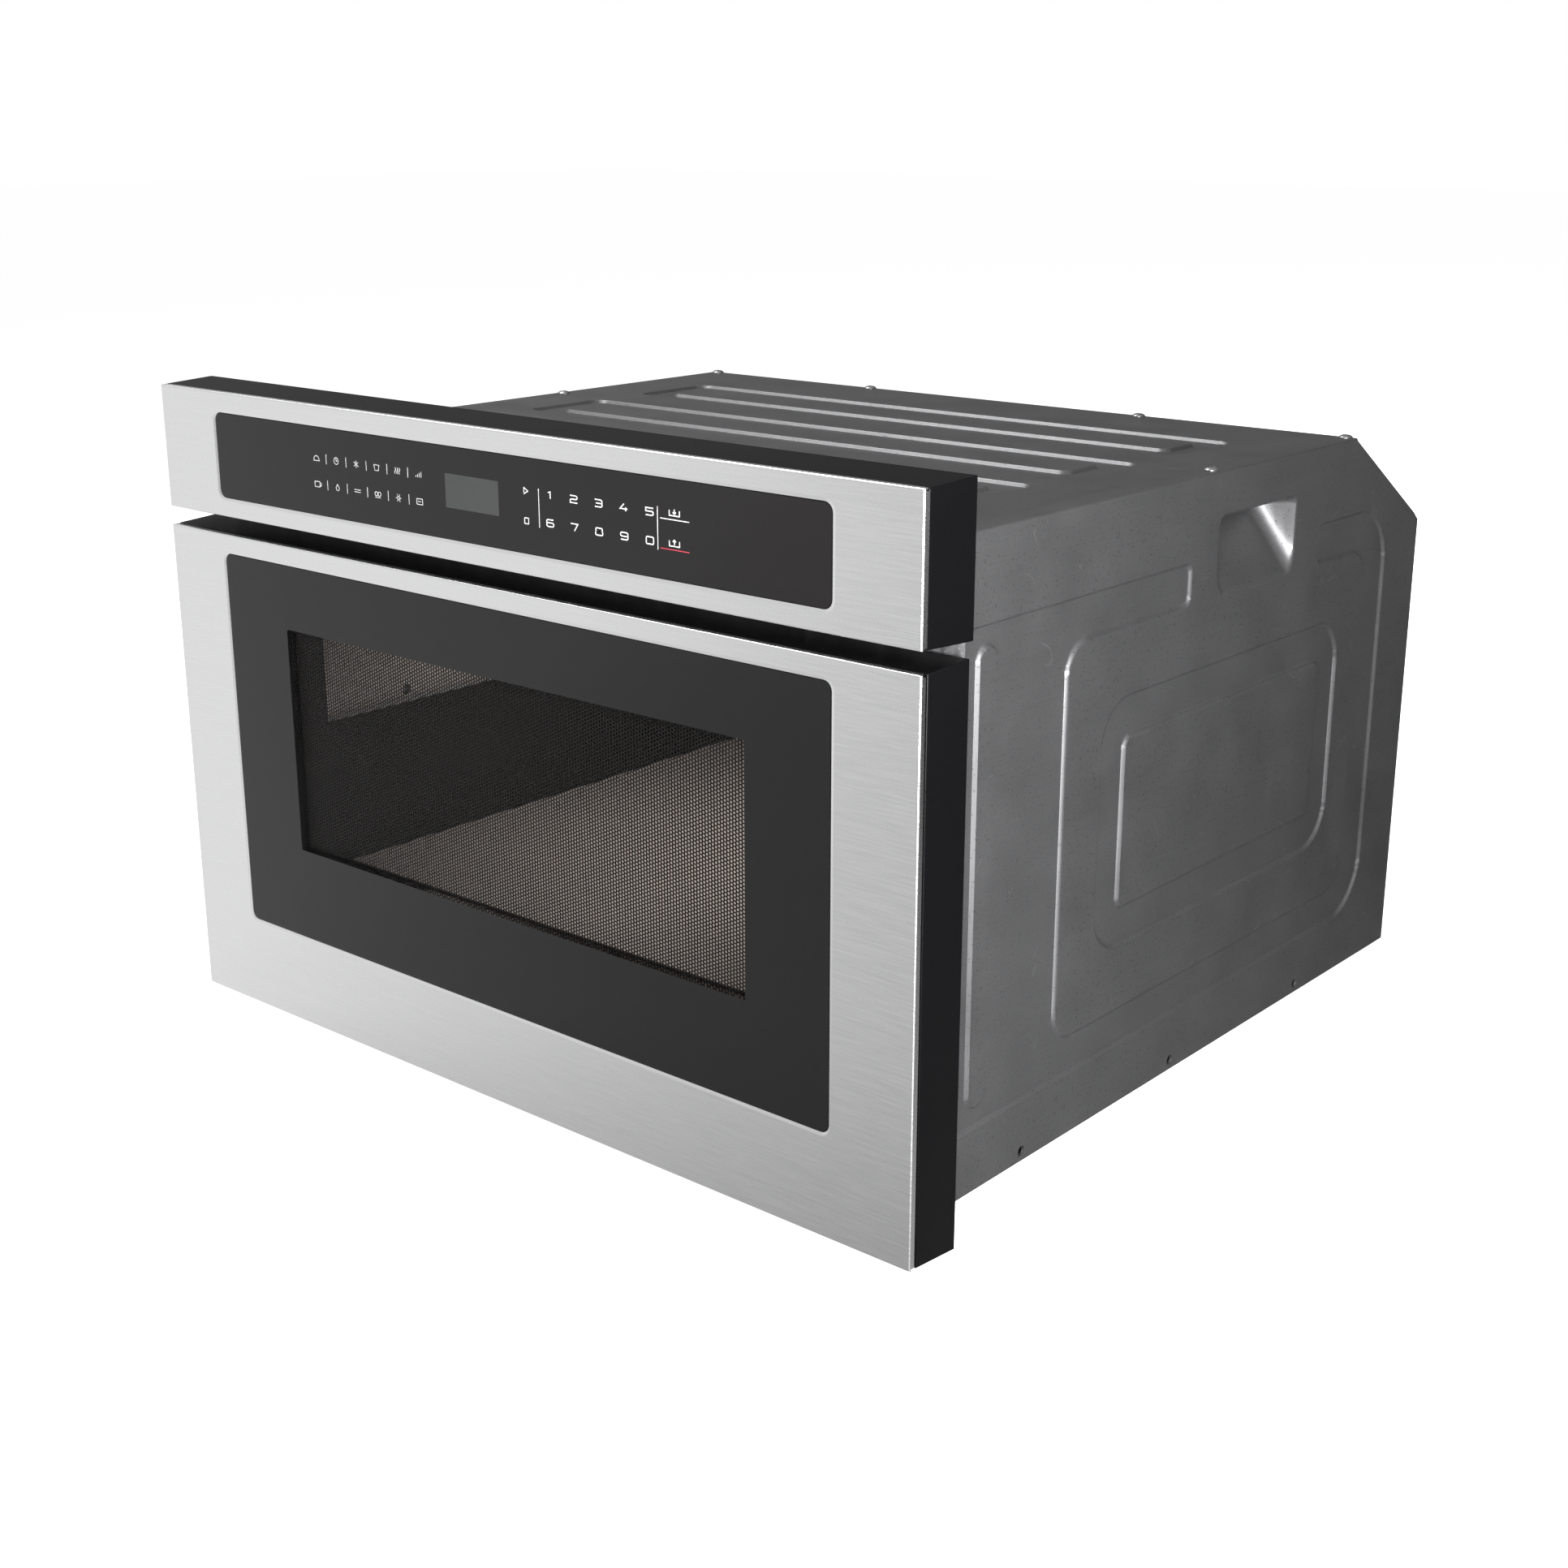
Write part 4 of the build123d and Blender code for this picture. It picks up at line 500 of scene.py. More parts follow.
def spangled_zinc():
    """Hot-dip zinc left bright: flat crystals of a few millimetres, each with its own grey."""
    made, tree = blank("zinc_coated_steel_spangled")
    where = node(tree, "TexCoord").outputs["Object"]
    cells = node(tree, "TexVoronoi", {"Vector": where, "Scale": 1 / (sizes("spangle") * MM)})
    grey = node(tree, "SeparateColor", {0: cells.outputs["Color"]})
    mixed = node(tree, "Mix", {0: grey.outputs[0], 6: tint("zinc_flange", 0.6),
                 7: tint("zinc_flange", 1.3)}, data_type="RGBA")
    rough = node(tree, "MapRange", {"Value": grey.outputs[1], "To Min": 0.3, "To Max": 0.55})
    close(tree, {"Base Color": mixed.outputs[2], "Metallic": 0.75, "Roughness": rough.outputs[0]})
    return made


def brushed_stainless():
    """Stainless sheet, belt brushed across the front: long fine level lines that spread the light up and
    down. Real lines are 0.1 mm apart; they are drawn about five times as coarse, so that they show."""
    made, tree = blank("stainless_steel_brushed")
    fine = pattern(tree, sizes("brush_pitch"), (0.02, 0.3, 1.0), detail=2.0)
    long_lines = pattern(tree, 1.6, (0.012, 0.3, 1.0), detail=2.0)
    clouds = pattern(tree, 90.0)
    lines = node(tree, "Math", {0: fine, 1: long_lines}, operation="ADD")
    share = node(tree, "MapRange", {"Value": lines.outputs[0], "From Min": 0.7, "From Max": 1.3})
    striped = node(tree, "Mix", {0: share.outputs[0], 6: tint("stainless", 0.965),
                   7: tint("stainless", 1.035)}, data_type="RGBA")
    mixed = node(tree, "Mix", {0: clouds, 6: striped.outputs[2], 7: tint("stainless", 1.0)},
                 data_type="RGBA")
    rough = node(tree, "MapRange", {"Value": fine, "From Min": 0.3, "From Max": 0.7,
                 "To Min": 0.26, "To Max": 0.32})
    bump = node(tree, "Bump", {"Height": fine, "Distance": 0.0015 * MM, "Strength": 1.0})
    close(tree, {"Base Color": mixed.outputs[2], "Metallic": 1.0, "Roughness": rough.outputs[0],
                 "Normal": bump.outputs[0]})
    return made


def printed_glass(name, slot):
    """Float glass with a fired print on its back: a flat gloss with faint wiping marks."""
    made, tree = blank(name)
    wipes = pattern(tree, 30.0, (0.3, 1.0, 1.0))
    mixed = node(tree, "Mix", {0: wipes, 6: tint(slot, 0.9), 7: tint(slot, 1.1)},
                 data_type="RGBA")
    rough = node(tree, "MapRange", {"Value": wipes, "From Min": 0.3, "From Max": 0.7,
                 "To Min": 0.05, "To Max": 0.1})
    close(tree, {"Base Color": mixed.outputs[2], "Roughness": rough.outputs[0], "IOR": 1.5,
                 "Specular IOR Level": 0.28})
    return made


def clear_pane():
    """Tempered smoked float glass: you look straight through it, with a thin gloss at low angles."""
    made, tree = blank("float_glass_smoked")
    wipes = pattern(tree, 40.0, (0.3, 1.0, 1.0))
    rough = node(tree, "MapRange", {"Value": wipes, "From Min": 0.3, "From Max": 0.7,
                 "To Min": 0.01, "To Max": 0.04})
    through = node(tree, "BsdfTransparent", {"Color": tint("door_glass")})
    gloss = node(tree, "BsdfAnisotropic", {"Color": (1, 1, 1, 1), "Roughness": rough.outputs[0]})
    share = node(tree, "Fresnel", {"IOR": 1.06})
    mixed = node(tree, "MixShader", {0: share.outputs[0], 1: through.outputs[0],
                 2: gloss.outputs[0]})
    node(tree, "OutputMaterial", {"Surface": mixed.outputs[0]})
    return made


def solder_masked_board():
    """Glass-epoxy board under green solder mask: paler copper tracks on a 2.5 mm raster."""
    made, tree = blank("glass_epoxy_board_masked")
    where = node(tree, "TexCoord").outputs["Object"]
    tracks = node(tree, "TexBrick", {"Vector": where, "Scale": 60.0, "Mortar Size": 0.03,
                  "Color1": tint("circuit_board"), "Color2": tint("circuit_board", 0.8),
                  "Mortar": tint("circuit_board", 1.7), "Brick Width": 0.7, "Row Height": 0.15})
    lumps = pattern(tree, 6.0)
    rough = node(tree, "MapRange", {"Value": lumps, "To Min": 0.25, "To Max": 0.4})
    close(tree, {"Base Color": tracks.outputs["Color"], "Roughness": rough.outputs[0]})
    return made


# Finishes with one grain: slot, metallic, roughness, grain and relief in mm, and what they give the eye.
GRAINED = {
    # Satin powder coat: nearly black, with an orange peel too low to see but enough to soften its gloss.
    "powder_coat_satin_black": dict(slot="black_frame", metallic=0.0, roughness=(0.3, 0.38), grain=1.1,
                                    spread=0.2, relief=0.008, **{"Specular IOR Level": 0.07}),
    # Moulded ABS with a spark-eroded texture: dark, even and matt.
    "abs_moulded_black": dict(slot="dark_plastic", metallic=0.0, roughness=(0.45, 0.6), grain=0.8,
                              relief=0.02, **{"Specular IOR Level": 0.3}),
    # Fired enamel over the door's screen spacer: a deep black gloss with faint waviness.
    "enamel_fired_black": dict(slot="glass_print", metallic=0.0, roughness=(0.2, 0.3), grain=12.0,
                               relief=0.01, **{"Specular IOR Level": 0.25}),
    # Sprayed beige enamel: pale and faintly glossy, with a soft orange peel.
    "enamel_sprayed_beige": dict(slot="cavity_paint", metallic=0.0, roughness=(0.3, 0.42), grain=2.2,
                                 spread=0.04, relief=0.03),
    # Dark enamel on the drawer pan: brown-black with a soft sheen.
    "enamel_sprayed_dark": dict(slot="pan_paint", metallic=0.0, roughness=(0.34, 0.46), grain=2.2,
                                relief=0.03, **{"Specular IOR Level": 0.35}),
    # Moulded grey polymer of the rim: satin with fine grain.
    "polymer_moulded_grey": dict(slot="rim_plastic", metallic=0.0, roughness=(0.36, 0.48), grain=0.9,
                                 spread=0.05, relief=0.02),
    # Ceramic glass floor: beige, flat and glossy, with fine speckles.
    "ceramic_glass_beige": dict(slot="tray_glass", metallic=0.0, roughness=(0.12, 0.2), grain=1.4,
                                spread=0.05, relief=0.004),
    # Steel screen under black paint: dark webs with a faint edge shine.
    "steel_painted_black": dict(slot="screen_metal", metallic=0.0, roughness=(0.4, 0.5), grain=0.9,
                                relief=0.01, **{"Specular IOR Level": 0.12}),
    # Moulded white polybutylene: warm white, a little chalky.
    "pbt_moulded_white": dict(slot="white_plastic", metallic=0.0, roughness=(0.4, 0.5), grain=1.2,
                              spread=0.04, relief=0.015),
    # Moulded nylon of gears and glides: milky and satin.
    "nylon_moulded": dict(slot="nylon", metallic=0.0, roughness=(0.35, 0.45), grain=1.5, spread=0.05,
                          relief=0.01),
    # Zinc plated steel: bright grey with rolling streaks along the depth.
    "steel_zinc_plated": dict(slot="zinc_steel", metallic=1.0, roughness=(0.26, 0.4), grain=1.2,
                              relief=0.006, stretch=(1.0, 0.05, 1.0)),
    # Mill finish aluminium: light and streaky.
    "aluminium_mill": dict(slot="aluminium", metallic=1.0, roughness=(0.26, 0.38), grain=0.9,
                           relief=0.005, stretch=(1.0, 0.06, 1.0)),
    # Stacked laminations under varnish: dark brown lines 0.5 mm apart along the stack.
    "laminated_steel_varnished": dict(slot="core_steel", metallic=0.4, roughness=(0.35, 0.55), grain=0.5,
                                      spread=0.35, relief=0.03, stretch=(0.05, 1.0, 0.05)),
    # Deep drawn motor cans: plain steel with fine draw marks.
    "steel_deep_drawn": dict(slot="motor_steel", metallic=1.0, roughness=(0.28, 0.4), grain=1.0,
                             relief=0.006, stretch=(1.0, 1.0, 0.08)),
    # Moulded rubber: dark and matt.
    "rubber_moulded": dict(slot="rubber", metallic=0.0, roughness=(0.6, 0.75), grain=0.9, relief=0.03,
                           **{"Specular IOR Level": 0.3}),
    # Pressed mica sheet: tan flakes of about 4 mm with a pearly sheen.
    "mica_pressed": dict(slot="mica", metallic=0.1, roughness=(0.25, 0.5), grain=4.0, spread=0.2,
                         relief=0.02),
    # Zinc plate on the screws: mid grey and shiny, with turning marks.
    "steel_zinc_bright": dict(slot="screw_zinc", metallic=0.85, roughness=(0.25, 0.4), grain=0.7,
                              spread=0.06, relief=0.01),
    # Screen-printed marks: matt off-white ink with slightly uneven cover.
    "ink_printed_white": dict(slot="mark_white", metallic=0.0, roughness=(0.45, 0.6), grain=0.8,
                              spread=0.05, relief=0.004),
    # Screen-printed red line: a dense matt ink.
    "ink_printed_red": dict(slot="mark_red", metallic=0.0, roughness=(0.45, 0.6), grain=0.8, spread=0.08,
                            relief=0.004),
    # Unlit display behind smoked film: dark grey, glossy and very even.
    "display_film_unlit": dict(slot="display", metallic=0.0, roughness=(0.08, 0.14), grain=6.0,
                               spread=0.06, relief=0.0, **{"Specular IOR Level": 0.2}),
}

MADE = {
    "galvanised_steel_rolled_dark": galvanised_sheet,
    "zinc_coated_steel_spangled": spangled_zinc,
    "stainless_steel_brushed": brushed_stainless,
    "float_glass_smoked": clear_pane,
    "glass_epoxy_board_masked": solder_masked_board,
    "float_glass_printed": lambda: printed_glass("float_glass_printed", "control_glass"),
    "float_glass_black_print": lambda: printed_glass("float_glass_black_print", "glass_print"),
}


def finish(name):
    """The material of that name, made when it is first asked for."""
    if name in bpy.data.materials:
        return bpy.data.materials[name]
    if name in MADE:
        return MADE[name]()
    return grained(name, **GRAINED[name])


# ---- the case ------------------------------------------------------------------------------------
def scoop_depth(y, z):
    """How deep the hand scoop is at each point. The hollow is what lies above a slanted floor, below a
    level ceiling and between two end walls with a little draft, and its creases and lip are rounded. The
    depth is found by halving the interval between air and metal."""
    y0, y1 = SCOOP_ENDS
    rise = SCOOP_TOP - SCOOP_LOW
    slant = np.hypot(rise, SCOOP_DEPTH)
    air, metal = np.full(y.shape, -1.0), np.full(y.shape, SCOOP_DEPTH + 3.0)
    for _ in range(26):
        depth = (air + metal) / 2
        floor = (depth * rise - (z - SCOOP_LOW) * SCOOP_DEPTH) / slant
        ends = np.maximum(y0 - y, y - y1) + SCOOP_DRAFT * depth
        ceiling = z - SCOOP_TOP + SCOOP_DRAFT * depth
        hollow = meet(meet(floor, ends, SCOOP_CREASE), ceiling, SCOOP_CORNER)
        in_air = meet(-depth, -hollow, SCOOP_LIP) > 0
        air, metal = np.where(in_air, depth, air), np.where(in_air, metal, depth)
    return np.maximum(metal, 0)


def side_press(y, z):
    """How far the side panel is pressed in: the C-shaped band less its island, gap and slot, and the ring
    less its own island, each with a soft slope along its edge."""
    band = meet(outline_distance(y, z, BAND_OUTER), -outline_distance(y, z, BAND_ISLAND), 1.0)
    band = meet(band, -outline_distance(y, z, BAND_GAP), BAND_END_CORNER)
    band = np.maximum(band, -outline_distance(y, z, SLOT))
    ring_part = np.maximum(outline_distance(y, z, RING_OUTER), -outline_distance(y, z, RING_ISLAND))
    slope = sizes("press_slope")
    return sizes("press_depth") * (smooth(-band / slope) + smooth(-ring_part / slope))


def side_skin():
    """The outer face of a side panel on a grid over depth and height. Above the scoop's foot the rows
    close up towards the sloped rear corner, and round each foot hole the grid is drawn onto a circle."""
    marks = (-FOOT_PATCH, -FOOT_HOLE_R, FOOT_HOLE_R, FOOT_PATCH)
    hole_lines = [(y + a, y + b) for y in FOOT_HOLES for a, b in zip(marks, marks[1:])]
    hole_rows = [(FOOT_HOLE_Z + a, FOOT_HOLE_Z + b) for a, b in zip(marks, marks[1:])]
    across = lines_between(SIDE_LOW[1], REAR_Y, FINE_STEP, COARSE_STEP, hole_lines + [
        (83, 102), (167, 188), (203, 237), (292, 300), (322, 334), (386, 424), (450, 456), (460, 556)])
    up = lines_between(SIDE_LOW[2], SIDE_HIGH[2], FINE_STEP, COARSE_STEP, hole_rows + [
        (37, 84), (102, 136), (226, 261), (279, 316), (316, 330), (340, 352)])
    y, z = np.meshgrid(across, up, indexing="ij")
    slope = np.clip((y - CHAMFER_Y) / (CHAMFER_END_Y - CHAMFER_Y), 0, 1)
    edge = SIDE_HIGH[2] + (CHAMFER_LOW - SIDE_HIGH[2]) * slope
    edge = np.where(y > CHAMFER_END_Y, CORNER_LOW, edge)
    share = (edge - WARP_FROM) / (SIDE_HIGH[2] - WARP_FROM)
    z = np.where(z > WARP_FROM, WARP_FROM + (z - WARP_FROM) * share, z)
    opened = np.zeros(y.shape, bool)
    for hole in FOOT_HOLES:
        a, b = y - hole, z - FOOT_HOLE_Z
        square = np.maximum(np.abs(a), np.abs(b))
        part = np.clip((square - FOOT_HOLE_R) / (FOOT_PATCH - FOOT_HOLE_R), 0, 1)
        near = square < FOOT_PATCH + 0.01
        scale = np.where(near, square / np.maximum(np.hypot(a, b), 0.01) * (1 - part) + part, 1.0)
        y, z = np.where(near, hole + a * scale, y), np.where(near, FOOT_HOLE_Z + b * scale, z)
        opened |= square < FOOT_HOLE_R - 0.01
    faces = quads(*y.shape)
    faces = faces[~opened.ravel()[faces].any(axis=1)]
    x = SIDE_OUT - side_press(y, z) - scoop_depth(y, z)
    return np.stack([x, y, z], -1).reshape(-1, 3), [faces]


def cover_rise(x, y):
    """How high the top cover stands over its flat part: the crown at the front less the ring beads."""
    crown = smooth((CROWN_HALF - np.abs(x)) / CROWN_SLOPE + 0.5)
    rise = CROWN_HEIGHT * crown * smooth((CROWN_REAR - y) / CROWN_SLOPE + 0.5)
    for rear in BEAD_REARS:
        front = rear - BEAD_LENGTH
        outer = outline_distance(x, y, (-BEAD_HALF, BEAD_HALF, front, rear, BEAD_CORNER))
        inner_half = BEAD_HALF - BEAD_WIDTH
        island = outline_distance(x, y, (-inner_half, inner_half, front + BEAD_WIDTH, rear - BEAD_WIDTH,
                                         BEAD_INNER_CORNER))
        bead = np.maximum(outer, -island)
        rise = rise - sizes("press_depth") * smooth(-bead / sizes("press_slope"))
    return rise


def cover_skin():
    """The outer face of the top cover: a line down one flange, round its bend, across the roof and down
    the other flange, carried to the back, with the crown and beads added to its height."""
    bend = COVER_BEND
    turn = np.linspace(0, np.pi / 2, 6)
    flange = np.linspace(COVER_LOW[2], ROOF_Z - bend, 4)[:-1]
    half = np.concatenate([
        np.column_stack([np.full(len(flange), CASE_HALF), flange]),
        np.column_stack([CASE_HALF - bend + bend * np.cos(turn), ROOF_Z - bend + bend * np.sin(turn)])])
    roof = lines_between(-(CASE_HALF - bend), CASE_HALF - bend, *COVER_STEPS[0], [
        (-265, -255), (-230, -214), (-211, -201), (201, 211), (214, 230), (255, 265)])[::-1][1:-1]
    line = np.concatenate([half, np.column_stack([roof, np.full(len(roof), ROOF_Z)]),
                           half[::-1] * (-1, 1)])
    zones = [(230, 240)]
    for rear in BEAD_REARS:
        front = rear - BEAD_LENGTH
        zones += [(front - 1, front + 12), (front + 17, front + 26), (rear - 26, rear - 17),
                  (rear - 12, rear + 1)]
    along = lines_between(FLANGE_BACK, CHAMFER_Y, *COVER_STEPS[1], zones)
    y, x = np.meshgrid(along, line[:, 0], indexing="ij")
    flat = np.abs(x) < CASE_HALF - bend - 0.01
    z = np.broadcast_to(line[:, 1], y.shape) + np.where(flat, cover_rise(x, y), 0)
    return np.stack([x, y, z], -1).reshape(-1, 3), [quads(*y.shape)]


class DRAWER_OT_side_panels(Operator):
    """Builds both pressed side panels with their hand scoops and foot holes."""

    bl_idname = "drawer.side_panels"
    bl_label = "Side panels"

    def execute(self, context):
        points, faces = side_skin()
        flange = slab((SIDE_LOW[0], SIDE_FLANGE_START, SIDE_HIGH[2] - 0.8),
                      (SIDE_OUT - 0.8, CHAMFER_Y, SIDE_HIGH[2]))
        for name, way in (("side_panel_right", 1.0), ("side_panel_left", -1.0)):
            skin = add_piece(name + "_pressed", (points * (way, 1, 1), faces),
                             "galvanised_steel_rolled_dark", "chassis", [name],
                             closed=False, flipped=way > 0)
            thicken(skin, sizes("case_sheet"), 0.6)
            add_piece(name + "_flange", (flange[0] * (way, 1, 1), flange[1]),
                      "galvanised_steel_rolled_dark", "chassis")
        return {"FINISHED"}


class DRAWER_OT_top_cover(Operator):
    """Builds the top cover with its crown, ring beads and side flanges."""

    bl_idname = "drawer.top_cover"
    bl_label = "Top cover"

    def execute(self, context):
        skin = add_piece("top_cover_pressed", cover_skin(), "galvanised_steel_rolled_dark", "chassis",
                         ["top_cover"], closed=False, flipped=True)
        thicken(skin, sizes("case_sheet"), 0.65)
        return {"FINISHED"}


def screw_head(centre, way, radius, height):
    """A domed screw head as rings about its middle: the dome falls with the square of the radius, and a
    cross is sunk where a point lies near either of two lines. The shank goes down behind it."""
    turn = np.linspace(0, 2 * np.pi, 49)[:-1]
    share = np.linspace(0.02, 1, 20)
    r, a = np.meshgrid(share * radius, turn, indexing="ij")
    u, v = r * np.cos(a), r * np.sin(a)
    dome = height * (1 - 0.75 * (r / radius) ** 3)
    arm = np.minimum(np.abs(u), np.abs(v))
    depth = 0.6 * height * smooth((0.16 * radius - arm) / (0.05 * radius)) * smooth(
        (0.56 * radius - r) / (0.06 * radius))
    rings = [np.stack([u[i], v[i], (dome - depth)[i]], -1) for i in range(len(share))]
    edge = np.stack([u[-1], v[-1]], -1)
    rings += [np.column_stack([edge * scale, np.full(len(edge), low)])
              for scale, low in ((1.0, 0.0), (0.42, 0.0), (0.42, -7.0))]
    points, faces = lofted(rings, caps=True)
    out = -np.array(way, float)
    side = np.array([0, 0, 1.0]) if abs(out[2]) < 0.5 else np.array([1.0, 0, 0])
    other = np.cross(out, side)
    return centre + points @ np.array([side, other, out]), faces


class DRAWER_OT_screws(Operator):
    """Builds the case screws with domed heads and cross recesses."""

    bl_idname = "drawer.screws"
    bl_label = "Case screws"

    def execute(self, context):
        top_y, side_x = CHAMFER_Y - TOP_SCREW_REAR, CASE_HALF - TOP_SCREW_SIDE
        rear_x = SIDE_OUT - REAR_SCREW_SIDE
        on_top = [(side_x, top_y), (TOP_SCREW_INNER_X, top_y), (side_x, top_y - TOP_SCREW_FORWARD)]
        behind = [(rear_x, z) for z in REAR_SCREW_HEIGHTS] + [(REAR_SCREW_LOW_X, REAR_SCREW_LOW)]
        places = [((way * x, y, ROOF_Z), (0, 0, -1), CASE_HEAD_R, TOP_HEAD)
                  for x, y in on_top for way in (-1, 1)]
        places += [((way * x, REAR_Y, z), (0, -1, 0), CASE_HEAD_R, REAR_HEAD)
                   for x, z in behind for way in (-1, 1)]
        places += [(WALL_SCREW, (-1, 0, 0), WALL_HEAD_R, WALL_HEAD)]
        add_piece("case_screw_heads", together(*[screw_head(*spot) for spot in places]),
                  "steel_zinc_bright", "chassis", ["case_screws"])
        return {"FINISHED"}


# ---- the stainless fronts and black frames -------------------------------------------------------
def front_pan(low, top, opening, depth):
    """A stainless front as one closed skin: from the back edge of the opening over its bevel, across the
    face, round the bend, along the return and back inside at the sheet's thickness."""
    bend, sheet, half = sizes("front_bend"), sizes("front_sheet"), FRONT_HALF
    in_low, in_top = opening
    rings = [ring(GLASS_HALF, in_low, in_top, GLASS_CORNER, y) for y in (sheet, BEVEL_DEPTH)]
    for share, y in ((0.15, 0.5), (0.85, 0.06), (1.0, 0.0), (1.2, 0.0)):
        grow = BEVEL * share
        rings.append(ring(GLASS_HALF + grow, in_low - grow, in_top + grow, GLASS_CORNER + grow, y))
    rings.append(ring(half - bend - HOLD, low + bend + HOLD, top - bend - HOLD, FRONT_CORNER, 0.0))
    for turn in np.linspace(0, np.pi / 2, 6):
        inset = bend * (1 - np.sin(turn))
        y = bend * (1 - np.cos(turn))
        rings.append(ring(half - inset, low + inset, top - inset, FRONT_CORNER, y))
    for inset, y in ((0.0, bend + HOLD), (0.0, depth), (sheet, depth), (sheet, sheet)):
        rings.append(ring(half - inset, low + inset, top - inset, FRONT_CORNER, y))
    return lofted(rings, closed=True)


def corner_notches(low, top, depth):
    """The open corners where two returns of a front don't quite meet."""
    size, start = 1.5, 0.9
    x0, x1 = FRONT_HALF - size, FRONT_HALF + 1
    blocks = []
    for z0, z1 in ((low - 1, low + size), (top - size, top + 1)):
        blocks.append(slab((x0, start, z0), (x1, depth + 1, z1)))
        blocks.append(slab((-x1, start, z0), (-x0, depth + 1, z1)))
    return together(*blocks)


def frame_rings(low, top, groove_y, back):
    """The outside of a black frame: up the set-in lip, out over the front edge, along the flared wall and
    round onto the back."""
    half, edge = FRONT_HALF, sizes("frame_edge")
    wall = [(FRAME_INSET, LIP_FRONT), (LIP + 0.2, LIP_FRONT), (LIP, LIP_FRONT + 0.2),
            (LIP, groove_y - 0.01), (edge, groove_y)]
    wall += [(edge * (1 - np.sin(a)), groove_y + edge * (1 - np.cos(a)))
             for a in np.linspace(0.3, np.pi / 2, 4)]
    rings = [ring(half - inset, low + inset, top - inset, FRAME_CORNER, y) for inset, y in wall]
    for share in (0.012, 0.5, 0.988, 1.0):
        y = groove_y + edge + (back - groove_y - 2 * edge) * share
        grow = FRAME_FLARE * (y - groove_y) / (back - groove_y)
        rings.append(ring(half + grow, low - grow, top + grow, FRAME_CORNER, y))
    for a in np.linspace(0.4, np.pi / 2, 4):
        grow = FRAME_FLARE - edge * (1 - np.cos(a))
        y = back - edge * (1 - np.sin(a))
        rings.append(ring(half + grow, low - grow, top + grow, FRAME_CORNER, y))
    return rings


def inner_ring(floor, top, back):
    """The inside edge of a frame's back wall."""
    return ring(FRONT_HALF - FRAME_INSET, floor + FRAME_INSET, top - FRAME_INSET, FRAME_CORNER,
                back - FRAME_WALL)


class DRAWER_OT_fronts(Operator):
    """Builds the two brushed stainless fronts with their bevelled openings and open corners."""

    bl_idname = "drawer.fronts"
    bl_label = "Stainless fronts"

    def execute(self, context):
        for name, body, low, high, opening in (
                ("door_fascia", "drawer", DOOR_LOW, DOOR_HIGH, DOOR_OPENING),
                ("control_fascia", "chassis", CONTROL_LOW, CONTROL_HIGH, CONTROL_OPENING)):
            pan = add_piece(name + "_pan", front_pan(low[2], high[2], opening, high[1]),
                            "stainless_steel_brushed", body, [name], sharp=24.0)
            cut_away(pan, corner_notches(low[2], high[2], high[1]), sharp=24.0)
        return {"FINISHED"}


class DRAWER_OT_frames(Operator):
    """Builds the flared black frames behind the two fronts."""

    bl_idname = "drawer.frames"
    bl_label = "Black frames"

    def execute(self, context):
        back, floor, top = reach("door_frame")[1][1], DOOR_LOW[2], DOOR_HIGH[2]
        rings = frame_rings(floor, top, DOOR_GROOVE, back)
        rings += [ring(*DOOR_FRAME_HOLE, y) for y in (back, back - FRAME_WALL)]
        rings += [inner_ring(floor, top, back)]
        add_piece("door_frame_shell", lofted(rings, closed=True), "powder_coat_satin_black", "drawer",
                  ["door_frame"])
        back, floor, top = reach("control_frame")[1][1], CONTROL_LOW[2], CONTROL_HIGH[2]
        rings = [inner_ring(floor, top, back), *frame_rings(floor, top, CONTROL_GROOVE, back)]
        shell = add_piece("control_frame_shell", lofted(rings, caps=True), "powder_coat_satin_black",
                          "chassis", ["control_frame"])
        middle = (floor + top) / 2
        holes = [slab((x - 30, back - 4, middle - 10), (x + 30, back + 1, middle + 10))
                 for x in (-GLASS_HALF / 2, GLASS_HALF / 2)]
        cut_away(shell, together(*holes))
        return {"FINISHED"}


# ---- glass, display and marks --------------------------------------------------------------------
def pane(low, high, front, back, polish=0.35):
    """A glass plate with rounded corners: its face, a polished edge and its back."""
    half, corner = high[0], GLASS_CORNER - GLASS_GAP
    rings = [ring(half - inset, low[2] + inset, high[2] - inset, corner - inset, y)
             for inset, y in ((polish + HOLD, front), (polish, front), (0.1, front + 0.1),
                              (0.0, front + polish),
                              (0.0, back - 0.1), (0.1, back), (0.1 + HOLD, back))]
    return lofted(rings, caps=True)


class DRAWER_OT_glass(Operator):
    """Builds the control glass and the door glass, black where it is printed and clear in its window."""

    bl_idname = "drawer.glass"
    bl_label = "Glass"

    def execute(self, context):
        low, high = CONTROL_PANE
        add_piece("control_glass_plate", pane(low, high, low[1], high[1]), "float_glass_printed",
                  "chassis", ["control_glass"])
        low, high = DOOR_PANE
        half, sill, head = WINDOW
        points = pane(low, high, low[1], high[1])[0]
        rings = [points, *(ring(half, sill, head, 0.8, y) for y in (high[1], low[1]))]
        rows = sum(map(len, rings)) // len(rings[1])
        skin = quads(rows, len(rings[1]), closed_rows=True, closed_columns=True)
        border = (np.concatenate(rings), [skin])
        add_piece("door_glass_print", border, "float_glass_black_print", "drawer",
                  ["door_glass"])
        clear = [ring(half - 0.02, sill + 0.02, head - 0.02, 0.78, y) for y in (low[1], high[1])]
        add_piece("door_glass_pane", lofted(clear, caps=True), "float_glass_smoked", "drawer",
                  ["door_glass"])
        return {"FINISHED"}


